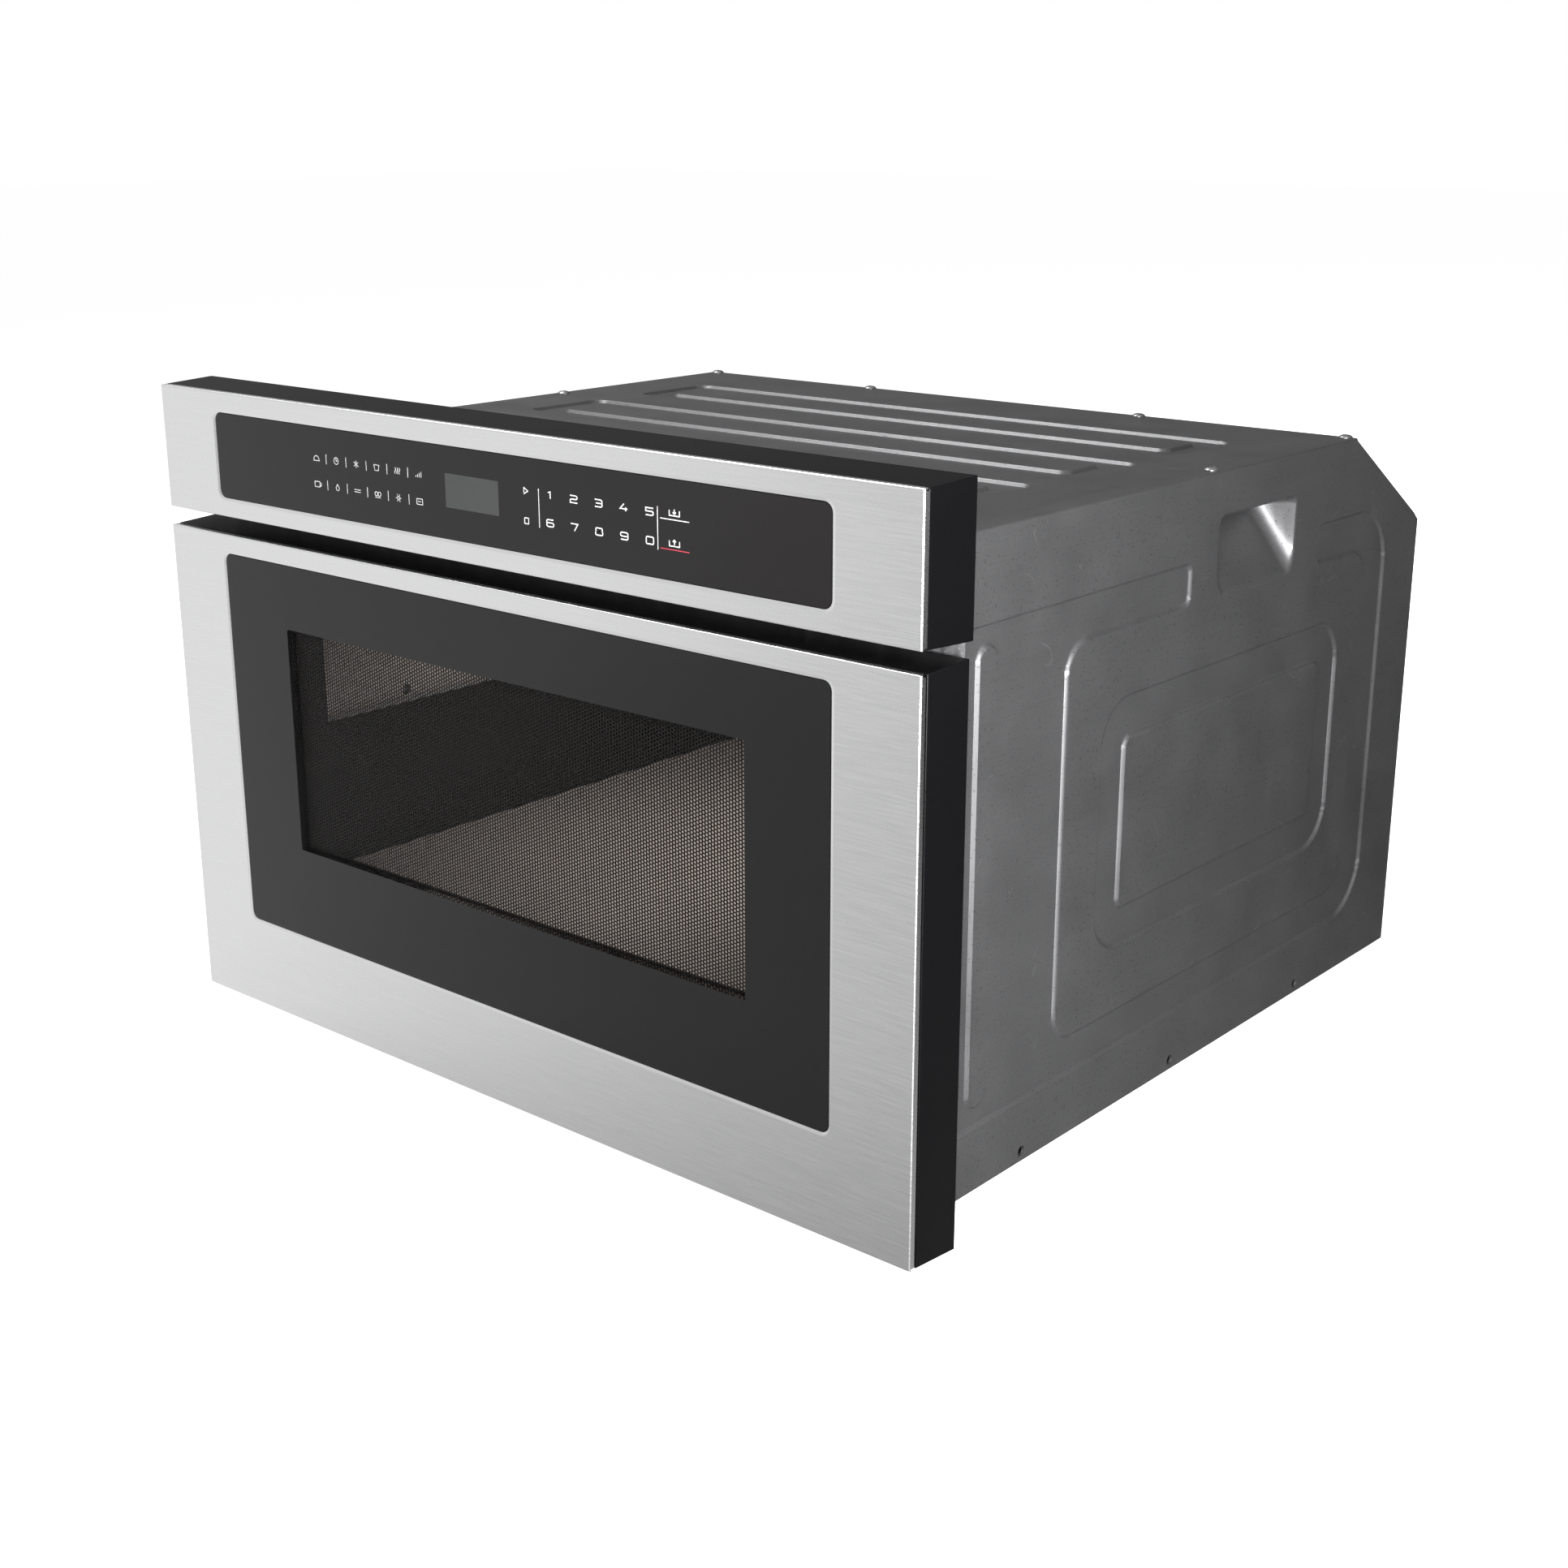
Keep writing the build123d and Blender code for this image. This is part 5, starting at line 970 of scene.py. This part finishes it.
def stroke(points, width, front, back, closed=False):
    """A printed line: a flat section carried along a path, with mitred corners."""
    line = np.array(points, float)
    ahead = np.roll(line, -1, 0) - line
    ahead = ahead if closed else np.concatenate([ahead[:-1], ahead[-2:-1]])
    ahead /= np.linalg.norm(ahead, axis=1, keepdims=True)
    behind = np.roll(ahead, 1, 0)
    behind = behind if closed else np.concatenate([ahead[:1], behind[1:]])
    normal_a, normal_b = (np.column_stack([-way[:, 1], way[:, 0]]) for way in (behind, ahead))
    mitre = (normal_a + normal_b) / (1 + np.sum(normal_a * normal_b, 1, keepdims=True)).clip(0.3)
    left, right = line + mitre * width / 2, line - mitre * width / 2
    sections = [np.column_stack([edge[:, 0], np.full(len(line), y), edge[:, 1]])
                for edge, y in ((left, front), (right, front), (right, back), (left, back))]
    points = np.stack(sections, 1).reshape(-1, 3)
    faces = [quads(len(line), 4, closed_rows=closed, closed_columns=True)]
    if not closed:
        faces += [np.array([[0, 1, 2, 3]]), np.arange(4)[None, ::-1] + 4 * (len(line) - 1)]
    return points, faces


def arc(x, z, radius, start=0.0, end=360.0, steps=20):
    """Points round part of a circle."""
    turn = np.radians(np.linspace(start, end, steps + 1))
    points = np.column_stack([x + radius * np.cos(turn), z + radius * np.sin(turn)])
    return points[:-1] if end - start >= 360 else points


def rounded_box(x0, x1, z0, z1, corner=0.18):
    """The line of a small rounded rectangle, from its upper right corner."""
    flat = ring((x1 - x0) / 2, z0, z1, corner, 0.0, arc=3, run=1)
    return np.column_stack([flat[:, 0] + (x0 + x1) / 2, flat[:, 2]])


# Digits in a box one wide and one high, drawn as wide squared lines: each line, and whether it closes.
DIGITS = {
    0: [(rounded_box(0, 1, 0, 1, 0.2), True)],
    1: [([(0.3, 0.85), (0.62, 1), (0.62, 0)], False)],
    2: [([(0, 1), (0.82, 1), (1, 0.86), (1, 0.62), (0.82, 0.5), (0.18, 0.5), (0, 0.38), (0, 0), (1, 0)],
         False)],
    3: [([(0, 1), (0.82, 1), (1, 0.86), (1, 0.14), (0.82, 0), (0, 0)], False),
        ([(0.15, 0.5), (0.95, 0.5)], False)],
    4: [([(0.55, 1), (0, 0.3), (1, 0.3)], False), ([(0.78, 0.55), (0.78, 0)], False)],
    5: [([(1, 1), (0, 1), (0, 0.55), (0.82, 0.55), (1, 0.43), (1, 0.14), (0.82, 0), (0, 0)], False)],
    6: [([(0.95, 1), (0.18, 1), (0, 0.86), (0, 0.14), (0.18, 0), (0.82, 0), (1, 0.14), (1, 0.43),
          (0.82, 0.55), (0.05, 0.55)], False)],
    7: [([(0, 1), (1, 1), (0.5, 0)], False)],
    8: [(rounded_box(0.05, 0.95, 0.52, 1, 0.16), True), (rounded_box(0, 1, 0, 0.52, 0.16), True)],
    9: [([(0.05, 0), (0.82, 0), (1, 0.14), (1, 0.86), (0.82, 1), (0.18, 1), (0, 0.86), (0, 0.57),
          (0.18, 0.45), (0.95, 0.45)], False)],
}

# Plain pictograms for the programme keys, in millimetres from each key's middle.
PICTOGRAMS = [
    [([(-3, -1.6), (3, -1.6)], False), (arc(0, -1.2, 2.6, 0, 180), False)],
    [(arc(0, 0, 2.1), True), ([(0, 1.3), (0, 0), (1.1, 0)], False)],
    [([(-2.2, -1.3), (2.2, 1.3)], False), ([(-2.2, 1.3), (2.2, -1.3)], False),
     ([(0, -2.2), (0, 2.2)], False)],
    [([(-2.4, 1.6), (-1.6, -1.8), (1.6, -1.8), (2.4, 1.6), (-2.4, 1.6)], False)],
    [([(x, -1.9), (x - 0.6, -0.6), (x + 0.6, 0.6), (x, 1.9)], False) for x in (-1.9, 0.0, 1.9)],
    [([(x, -1.8), (x, h)], False) for x, h in ((-2.4, -0.9), (-0.8, 0.0), (0.8, 0.9), (2.4, 1.8))],
    [(rounded_box(-3, 2, -1.7, 1.7, 0.5), True), (arc(2.4, 0, 1.1, -90, 90), False)],
    [([(0, 2), (-1.7, -0.3), (-1.2, -1.6), (0, -2), (1.2, -1.6), (1.7, -0.3), (0, 2)], False)],
    [([(-3, 0.7), (3, 0.7)], False), ([(-3, -0.7), (3, -0.7)], False)],
    [(arc(-1.5, 0.3, 1.3), True), (arc(1.5, 0.3, 1.3), True), ([(-2.6, -1.9), (2.6, -1.9)], False)],
    [(arc(0, 0, 1.1), True)] + [
        ([(1.7 * np.cos(a), 1.7 * np.sin(a)), (2.5 * np.cos(a), 2.5 * np.sin(a))], False)
        for a in np.radians(np.arange(0, 360, 60))],
    [([(-2.6, -1.7), (-2.6, 1.7), (2.6, 1.7), (2.6, -1.7), (-2.6, -1.7)], False),
     ([(-1.4, 0), (1.4, 0)], False)],
]
START_MARK = [([(-1.4, -1.7), (-1.4, 1.7), (1.7, 0), (-1.4, -1.7)], False)]
STOP_MARK = [(rounded_box(-1.6, 1.6, -1.6, 1.6, 0.3), True)]
OPEN_MARK = [([(-3.6, 1.6), (-3.6, -1.2), (3.6, -1.2), (3.6, 1.6)], False), ([(0, 2.2), (0, -0.4)], False),
             ([(-1.1, 0.7), (0, -0.4), (1.1, 0.7)], False)]
CLOSE_MARK = [([(-3.6, 1.6), (-3.6, -1.2), (3.6, -1.2), (3.6, 1.6)], False), ([(0, -0.4), (0, 2.2)], False),
              ([(-1.1, 1.1), (0, 2.2), (1.1, 1.1)], False)]


def drawn(lines, x, z, width, scale=(1.0, 1.0)):
    """A mark as strokes just on the face of the control glass."""
    front, back = CONTROL_PANE[0][1] - MARK_FRONT, CONTROL_PANE[0][1] + MARK_BACK
    return [stroke(np.array(line, float) * scale + (x, z), width, front, back, closed)
            for line, closed in lines]


# Where the marks stand, in millimetres: columns and rows of the keys, and the dividers between them.
KEY_X, KEY_PITCH, KEY_ROWS = -149.2, 18.5, (377.8, 362.1)
KEY_DIVIDERS = (-140.0, -121.6, -103.1, -84.4, -66.0)
KEY_DIVIDER_ROWS = ((374.9, 380.8), (359.4, 365.3))
DIGIT_X, DIGIT_PITCH, DIGIT_ROWS, DIGIT_SIZE = 50.8, 18.65, (377.8, 362.6), (5.3, 3.8)
TALL_DIVIDERS = ((42.3, 359.2, 380.5), (131.1, 358.6, 381.2))
UNDERLINE, WHITE_LINE_Z, RED_LINE_Z = (133.0, 153.4), 375.4, 359.7
DISPLAY = (22.0, 361.6, 381.0, 0.2)  # half width, foot, head and corner
DISPLAY_X = -12.0


def straight(x0, z0, x1, z1, width):
    """One straight printed line."""
    return drawn([([(x0, z0), (x1, z1)], False)], 0, 0, width)


class DRAWER_OT_marks(Operator):
    """Prints the digits, pictograms and dividers on the control glass and sets in the display."""

    bl_idname = "drawer.marks"
    bl_label = "Display and marks"

    def execute(self, context):
        width = sizes("mark_width")
        strokes = []
        for index, lines in enumerate(PICTOGRAMS):
            x, z = KEY_X + KEY_PITCH * (index % 6), KEY_ROWS[index // 6]
            strokes += drawn(lines, x, z, 0.7 * width, (0.95, 0.95))
        for x in KEY_DIVIDERS:
            for z0, z1 in KEY_DIVIDER_ROWS:
                strokes += straight(x, z0, x, z1, 0.7 * width)
        for x, z0, z1 in TALL_DIVIDERS:
            strokes += straight(x, z0, x, z1, 0.8 * width)
        for index, digit in enumerate((1, 2, 3, 4, 5, 6, 7, 8, 9, 0)):
            x, z = DIGIT_X + DIGIT_PITCH * (index % 5), DIGIT_ROWS[index // 5]
            strokes += drawn(DIGITS[digit], x - DIGIT_SIZE[0] / 2, z - DIGIT_SIZE[1] / 2, 1.25 * width,
                             DIGIT_SIZE)
        for mark, x, z, share in ((START_MARK, 32.2, 378.2, 1.0), (STOP_MARK, 32.2, 361.7, 1.0),
                                  (OPEN_MARK, 143.1, 378.7, 1.1), (CLOSE_MARK, 142.9, 362.8, 1.1)):
            strokes += drawn(mark, x, z, share * width)
        strokes += straight(UNDERLINE[0], WHITE_LINE_Z, UNDERLINE[1], WHITE_LINE_Z, 0.9 * width)
        red = straight(UNDERLINE[0], RED_LINE_Z, UNDERLINE[1], RED_LINE_Z, width)
        for name, lines, ink in (("control_marks", strokes, "ink_printed_white"),
                                 ("control_mark_red", red, "ink_printed_red")):
            add_piece(name, together(*lines), ink, "chassis", sharp=20)
        front = CONTROL_PANE[0][1]
        window = [ring(*DISPLAY, y, arc=2, run=1) + (DISPLAY_X, 0, 0) for y in (front - 0.02, front + 0.3)]
        add_piece("display_window", lofted(window, caps=True), "display_film_unlit", "chassis")
        return {"FINISHED"}


# ---- the door's screen ---------------------------------------------------------------------------
def honeycomb(x0, x1, z0, z1, y0, y1, shared=0):
    """A perforated sheet: six-sided holes in upright columns, every other column half a step higher. Each
    hole gives three webs and two small triangles to the faces, counted towards its neighbours above and
    on the right, and six walls between front and back, save in the columns shared with another sheet."""
    pitch, web = sizes("screen_pitch"), sizes("screen_web")
    columns = int((x1 - x0) / pitch)
    rows = int((z1 - z0) / pitch)
    i, j = np.meshgrid(np.arange(rows), np.arange(columns), indexing="ij")
    x = x0 + pitch * (j + 0.5)
    z = z0 + pitch * (i + 0.5 * (j % 2) + 0.25)
    turn = np.radians(30 + 60 * np.arange(6))
    radius = (pitch - web) / np.sqrt(3)
    flat = np.stack([x[..., None] + radius * np.sin(turn), z[..., None] + radius * np.cos(turn)], -1)
    count = columns * rows * 6
    points = np.concatenate([np.insert(flat.reshape(-1, 2), 1, y, axis=1) for y in (y0, y1)])
    first = np.arange(count).reshape(rows, columns, 6)
    odd = (j % 2)[:-1, :-1]
    here = first[:-1, :-1]
    above = first[1:, :-1]
    ii, jj = i[:-1, :-1], j[:-1, :-1]
    upper_right = first[ii + odd, jj + 1]
    lower_right = first[np.maximum(ii + odd - 1, 0), jj + 1]
    whole = (ii + odd - 1 >= 0)
    webs = [np.stack([here[..., 5], here[..., 0], above[..., 2], above[..., 3]], -1).reshape(-1, 4),
            np.stack([here[..., 0], here[..., 1], upper_right[..., 3], upper_right[..., 4]],
                     -1).reshape(-1, 4),
            np.stack([here[..., 1], here[..., 2], lower_right[..., 4], lower_right[..., 5]], -1)[whole]]
    knots = [np.stack([here[..., 0], upper_right[..., 4], above[..., 2]], -1).reshape(-1, 3),
             np.stack([here[..., 1], lower_right[..., 5], upper_right[..., 3]], -1)[whole]]
    front = [np.concatenate(webs)[:, ::-1], np.concatenate(knots)[:, ::-1]]
    back = [face[:, ::-1] + count for face in front]
    ahead = np.roll(first, -1, -1)
    walls = np.stack([first + count, ahead + count, ahead, first], -1)[:, shared:].reshape(-1, 4)
    return points, front + back + [walls]


class DRAWER_OT_screen(Operator):
    """Builds the perforated screen behind the window and the plain sheet round it."""

    bl_idname = "drawer.screen"
    bl_label = "Door screen"

    def execute(self, context):
        low, high = WINDOW_SCREEN
        half, sill, head = WINDOW
        for side, x0, x1, shared in (("left", -half - MESH_MARGIN, 0.01, 0),
                                     ("right", -sizes("screen_pitch"), half + MESH_MARGIN, 1)):
            mesh = honeycomb(x0, x1, sill - MESH_MARGIN, head + MESH_MARGIN, low[1],
                             low[1] + MESH_SHEET, shared)
            add_piece("screen_mesh_" + side, mesh, "steel_painted_black", "drawer",
                      closed=False)
        rings = [ring(high[0], low[2], high[2], 1.0, y) for y in (low[1], high[1])]
        rings += [ring(half - 0.2, sill + 0.2, head - 0.2, 0.5, y) for y in (high[1], low[1])]
        add_piece("screen_border", lofted(rings, closed=True), "steel_painted_black", "drawer",
                  ["door_screen"])
        return {"FINISHED"}


# ---- the other nodes -----------------------------------------------------------------------------
# Nodes copied with rounded edges: edge radius in mm, finish, slot and body.
SOFTENED = {
    "rear_panel": (0.3, "galvanised_steel_rolled_dark", "galvanised_case", "chassis"),
    "base_panel": (0.3, "galvanised_steel_rolled_dark", "galvanised_case", "chassis"),
    "drawer_pan": (0.5, "enamel_sprayed_dark", "pan_paint", "drawer"),
    "pan_rim": (0.8, "polymer_moulded_grey", "rim_plastic", "drawer"),
    "floor_tray": (1.2, "ceramic_glass_beige", "tray_glass", "drawer"),
    "choke_cover": (0.5, "abs_moulded_black", "dark_plastic", "drawer"),
    "door_inner_panel": (0.4, "enamel_sprayed_dark", "pan_paint", "drawer"),
    "latch_hooks": (0.5, "nylon_moulded", "nylon", "drawer"),
    "drive_gearbox": (1.5, "abs_moulded_black", "dark_plastic", "chassis"),
    "hv_capacitor": (1.2, "aluminium_mill", "aluminium", "chassis"),
    "air_duct": (0.5, "abs_moulded_black", "dark_plastic", "chassis"),
}

# Nodes whose shape stays, under the finish that they get.
FINISHED = {
    "zinc_coated_steel_spangled": ["front_frame"],
    "enamel_sprayed_beige": ["cavity_shell"],
    "mica_pressed": ["ceiling_cover"],
    "laminated_steel_varnished": ["hv_transformer"],
    "enamel_fired_black": ["door_spacer"],
    "rubber_moulded": ["door_bumpers"],
    "glass_epoxy_board_masked": ["touch_board", "power_board", "line_filter"],
    "abs_moulded_black": ["control_display", "thermal_cutouts", "fan_shroud", "interlock_switches",
                          "cord_gland"],
    "aluminium_mill": ["magnetron", "antenna_rotor"],
    "steel_deep_drawn": ["fan_motor", "antenna_motor", "drive_motor"],
    "pbt_moulded_white": ["fan_wheel", "cavity_lamp"],
    "nylon_moulded": ["shaft_bearings", "drive_shaft", "pan_glides", "drive_rack_left",
                      "drive_rack_right"],
    "steel_zinc_plated": ["waveguide", "interlock_brackets"] + [
        stem + side for side in ("_left", "_right")
        for stem in ("slide_bracket", "slide_outer", "slide_middle", "slide_inner", "drawer_arm")],
}


class DRAWER_OT_rounded_parts(Operator):
    """Copies the sheet and moulded parts that keep their shape and rounds their edges."""

    bl_idname = "drawer.rounded_parts"
    bl_label = "Rounded parts"

    def execute(self, context):
        for name, (width, finish_name, slot, body) in SOFTENED.items():
            soften(name, width, finish_name, body)
        return {"FINISHED"}


class DRAWER_OT_finishes(Operator):
    """Gives every node that keeps its shape its finish."""

    bl_idname = "drawer.finishes"
    bl_label = "Finishes"

    def execute(self, context):
        for finish_name, names in FINISHED.items():
            for name in names:
                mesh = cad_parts[name].data
                mesh.materials.clear()
                mesh.materials.append(finish(finish_name))
        return {"FINISHED"}


# ---- the studio ----------------------------------------------------------------------------------
# Lamps as name, place and the point they face in metres, size in metres, power in watts, and whether they
# light surfaces and are mirrored. The strips only shine in metal and glass, as narrow studio reflectors do.
LAMPS = (
    ("Key", (0.7, -0.5, 0.42), (0.28, 0.1, 0.2), (0.4, 0.4), 14.5, True, True),
    ("Fill", (-1.9, -1.7, 1.1), (0.0, -0.2, 0.2), (1.2, 1.2), 44.0, True, False),
    ("Back", (-0.5, 2.4, 1.2), (0.0, 0.6, 0.2), (1.2, 1.2), 44.0, True, False),
    ("Top", (-0.9, -0.2, 1.9), (0.0, 0.1, 0.3), (1.2, 0.9), 24.0, True, True),
    ("Edge strip", (1.155, -1.67, 0.21), (0.3, 0.0, 0.2), (0.5, 0.38), 150.0, False, True),
    ("Bead strip", (-0.9, -0.2, 1.9), (0.0, 0.1, 0.4), (0.8, 0.5), 18.0, False, True),
)
# A gloss sees the floor darkest round one point and fading to the right, in metres and per metre.
# That dark patch is painted shade, seen only in reflections, which darkens the rear of the case.
FLOOR_DARK = (0.8, 0.9)
FLOOR_FALL = (-0.86, 0.5, 0.0)
# Grey cards that only metal and glass see: name, left and right end, depth, height and brightness.
CARDS = (
    ("studio_card_rear", -5.5, 3.2, 2.2, 3.0, 0.17),
    ("studio_card_front", -1.5, 1.6, -2.4, 2.6, 0.62),
)


CARD_GRAIN = 80.0  # size of the felt's lumps, in millimetres
FLOOR_SIZE, FLOOR_GLOW = 14.0, 0.78
CAVITY_LIGHT = (0.36, 0.3, 0.52, 3.0)  # size in metres, power in watts and millimetres below the ceiling
CAMERA_PLACE, CAMERA_TURN, CAMERA_LENS = (0.90418, -1.105535, 0.58168), (72.62, 0.0, 40.43), 50.0


def flat_sheet(name, corners, material):
    """A four-cornered sheet of the studio."""
    mesh = bpy.data.meshes.new(name)
    mesh.from_pydata(corners, [], [(0, 1, 2, 3)])
    mesh.materials.append(material)
    made = bpy.data.objects.new(name, mesh)
    bpy.context.scene.collection.objects.link(made)
    return made


def backdrop():
    """The world: even soft light, and plain white where the camera, a gloss or a glass sees it."""
    world = bpy.data.worlds.new("Studio")
    bpy.context.scene.world = world
    world.use_nodes = True
    tree = world.node_tree
    tree.nodes.clear()
    path = node(tree, "LightPath")
    seen = node(tree, "Math", {0: path.outputs["Is Camera Ray"], 1: path.outputs["Is Glossy Ray"]},
                operation="MAXIMUM")
    seen = node(tree, "Math", {0: seen.outputs[0], 1: path.outputs["Is Transmission Ray"]},
                operation="MAXIMUM")
    level = node(tree, "MapRange", {"Value": seen.outputs[0], "To Min": 0.24, "To Max": 1.0})
    light = node(tree, "Background", {"Color": (1, 1, 1, 1), "Strength": level.outputs[0]})
    node(tree, "OutputWorld", {"Surface": light.outputs[0]})


def studio_floor():
    """A plain pale floor, white to camera and glass, that keeps the shadow; a gloss sees painted shade on
    it.
    """
    made, tree = blank("studio_floor_paint")
    paper = pattern(tree, 60.0)
    mixed = node(tree, "Mix", {0: paper, 6: (0.86, 0.86, 0.86, 1), 7: (0.88, 0.88, 0.88, 1)},
                 data_type="RGBA")
    paint = node(tree, "BsdfDiffuse", {"Color": mixed.outputs[2]})
    path = node(tree, "LightPath")
    seen = node(tree, "Math", {0: path.outputs["Is Camera Ray"],
                1: path.outputs["Is Transmission Ray"]}, operation="MAXIMUM")
    level = node(tree, "Math", {0: seen.outputs[0], 1: FLOOR_GLOW}, operation="MULTIPLY")
    glow = node(tree, "Emission", {"Color": (1, 1, 1, 1), "Strength": level.outputs[0]})
    both = node(tree, "AddShader", {0: paint.outputs[0], 1: glow.outputs[0]})
    # To a gloss the floor shows only a glow with painted shade, darkest round FLOOR_DARK and falling off
    # sideways.
    where = node(tree, "TexCoord").outputs["Object"]
    away = node(tree, "VectorMath", {0: where, 1: (*FLOOR_DARK, 0.0)}, operation="DISTANCE")
    near = node(tree, "MapRange", {"Value": away.outputs["Value"], "From Min": 0.6,
                "From Max": 1.6, "To Min": 0.05, "To Max": 1.0})
    sideways = node(tree, "VectorMath", {0: where, 1: FLOOR_FALL}, operation="DOT_PRODUCT")
    fall = node(tree, "MapRange", {"Value": sideways.outputs["Value"], "From Min": -0.9,
                "From Max": 0.14, "To Min": 0.06, "To Max": 1.15})
    shown = node(tree, "Math", {0: near.outputs[0], 1: fall.outputs[0]}, operation="MULTIPLY")
    painted_shade_glow = node(tree, "Emission", {"Color": (1, 1, 1, 1), "Strength": shown.outputs[0]})
    whole = node(tree, "MixShader", {0: path.outputs["Is Glossy Ray"], 1: both.outputs[0],
                 2: painted_shade_glow.outputs[0]})
    node(tree, "OutputMaterial", {"Surface": whole.outputs[0]})
    size = FLOOR_SIZE
    floor = flat_sheet("studio_floor", [(-size, -size, 0), (size, -size, 0), (size, size, 0),
                                        (-size, size, 0)], made)


def studio_card(name, left, right, depth, height, brightness):
    """A grey felt card, upright across the room, that is left out of the picture and lights nothing."""
    made, tree = blank(name + "_felt")
    felt = pattern(tree, CARD_GRAIN)
    level = node(tree, "MapRange", {"Value": felt, "To Min": 0.85 * brightness,
                 "To Max": 1.15 * brightness})
    glow = node(tree, "Emission", {"Color": (1, 1, 1, 1), "Strength": level.outputs[0]})
    node(tree, "OutputMaterial", {"Surface": glow.outputs[0]})
    card = flat_sheet(name, [(left, depth, 0.0), (right, depth, 0.0), (right, depth, height),
                             (left, depth, height)], made)
    card.visible_camera = card.visible_diffuse = card.visible_shadow = card.visible_transmission = False


def area_lamp(name, location, target, width, height, power):
    """Links a rectangular lamp at a place, facing a point."""
    lamp = bpy.data.lights.new(name, "AREA")
    lamp.shape, lamp.size, lamp.size_y, lamp.energy = "RECTANGLE", width, height, power
    made = bpy.data.objects.new(name, lamp)
    bpy.context.scene.collection.objects.link(made)
    made.location = location
    made.rotation_euler = (Vector(target) - Vector(location)).to_track_quat("-Z", "Y").to_euler()
    return made


class DRAWER_OT_stage(Operator):
    """Sets up the floor, backdrop, lamps and the camera of the photograph."""

    bl_idname = "drawer.stage"
    bl_label = "Studio"

    def execute(self, context):
        scene = context.scene
        scene.view_settings.view_transform = "Standard"
        backdrop()
        studio_floor()
        for card in CARDS:
            studio_card(*card)
        for name, location, target, size, power, lights, shines in LAMPS:
            made = area_lamp(name, location, target, *size, power)
            made.visible_diffuse, made.visible_glossy = lights, shines
        width, height, power, drop = CAVITY_LIGHT
        middle = (CAVITY[0] + CAVITY[1]) / 2
        spot = place((middle[0], middle[1], CEILING[0][2] - drop))
        made = area_lamp("Cavity light", spot, spot - (0, 0, 0.1), width, height, power)
        made.data.color = lin("FFFAF6")
        made.visible_camera = made.visible_glossy = made.visible_transmission = False
        camera = bpy.data.cameras.new("Photograph")
        camera.lens, camera.sensor_width, camera.clip_start = CAMERA_LENS, 36.0, 0.01
        made = bpy.data.objects.new("Photograph", camera)
        scene.collection.objects.link(made)
        made.location, made.rotation_euler = CAMERA_PLACE, np.radians(CAMERA_TURN)
        scene.camera = made
        return {"FINISHED"}


OPERATORS = (
    DRAWER_OT_stage, DRAWER_OT_side_panels, DRAWER_OT_top_cover, DRAWER_OT_screws, DRAWER_OT_fronts,
    DRAWER_OT_frames, DRAWER_OT_glass, DRAWER_OT_marks, DRAWER_OT_screen, DRAWER_OT_rounded_parts,
    DRAWER_OT_finishes,
)


class DRAWER_PT_looks(Panel):
    """Lists the steps that finish the microwave drawer."""

    bl_idname = "DRAWER_PT_looks"
    bl_label = "Microwave drawer"
    bl_space_type = "VIEW_3D"
    bl_region_type = "UI"
    bl_category = "Drawer"

    def draw(self, context):
        column = self.layout.column(align=True)
        for step in OPERATORS:
            column.operator(step.bl_idname)
        for group in (context.scene.drawer_sizes, context.scene.drawer_colours):
            box = self.layout.box()
            for name in group.__annotations__:
                box.prop(group, name)


CLASSES = (DrawerSizes, DrawerColours, *OPERATORS, DRAWER_PT_looks)


def register():
    """Registers the classes and hangs the sizes and colours on the scene."""
    for each in CLASSES:
        bpy.utils.register_class(each)
    bpy.types.Scene.drawer_sizes = PointerProperty(type=DrawerSizes)
    bpy.types.Scene.drawer_colours = PointerProperty(type=DrawerColours)


def unregister():
    """Takes off what register added."""
    del bpy.types.Scene.drawer_colours
    del bpy.types.Scene.drawer_sizes
    for each in reversed(CLASSES):
        bpy.utils.unregister_class(each)


def main():
    """Runs every step."""
    register()
    for step in OPERATORS:
        group, name = step.bl_idname.split(".")
        getattr(getattr(bpy.ops, group), name)()


if __name__ == "__main__":
    main()
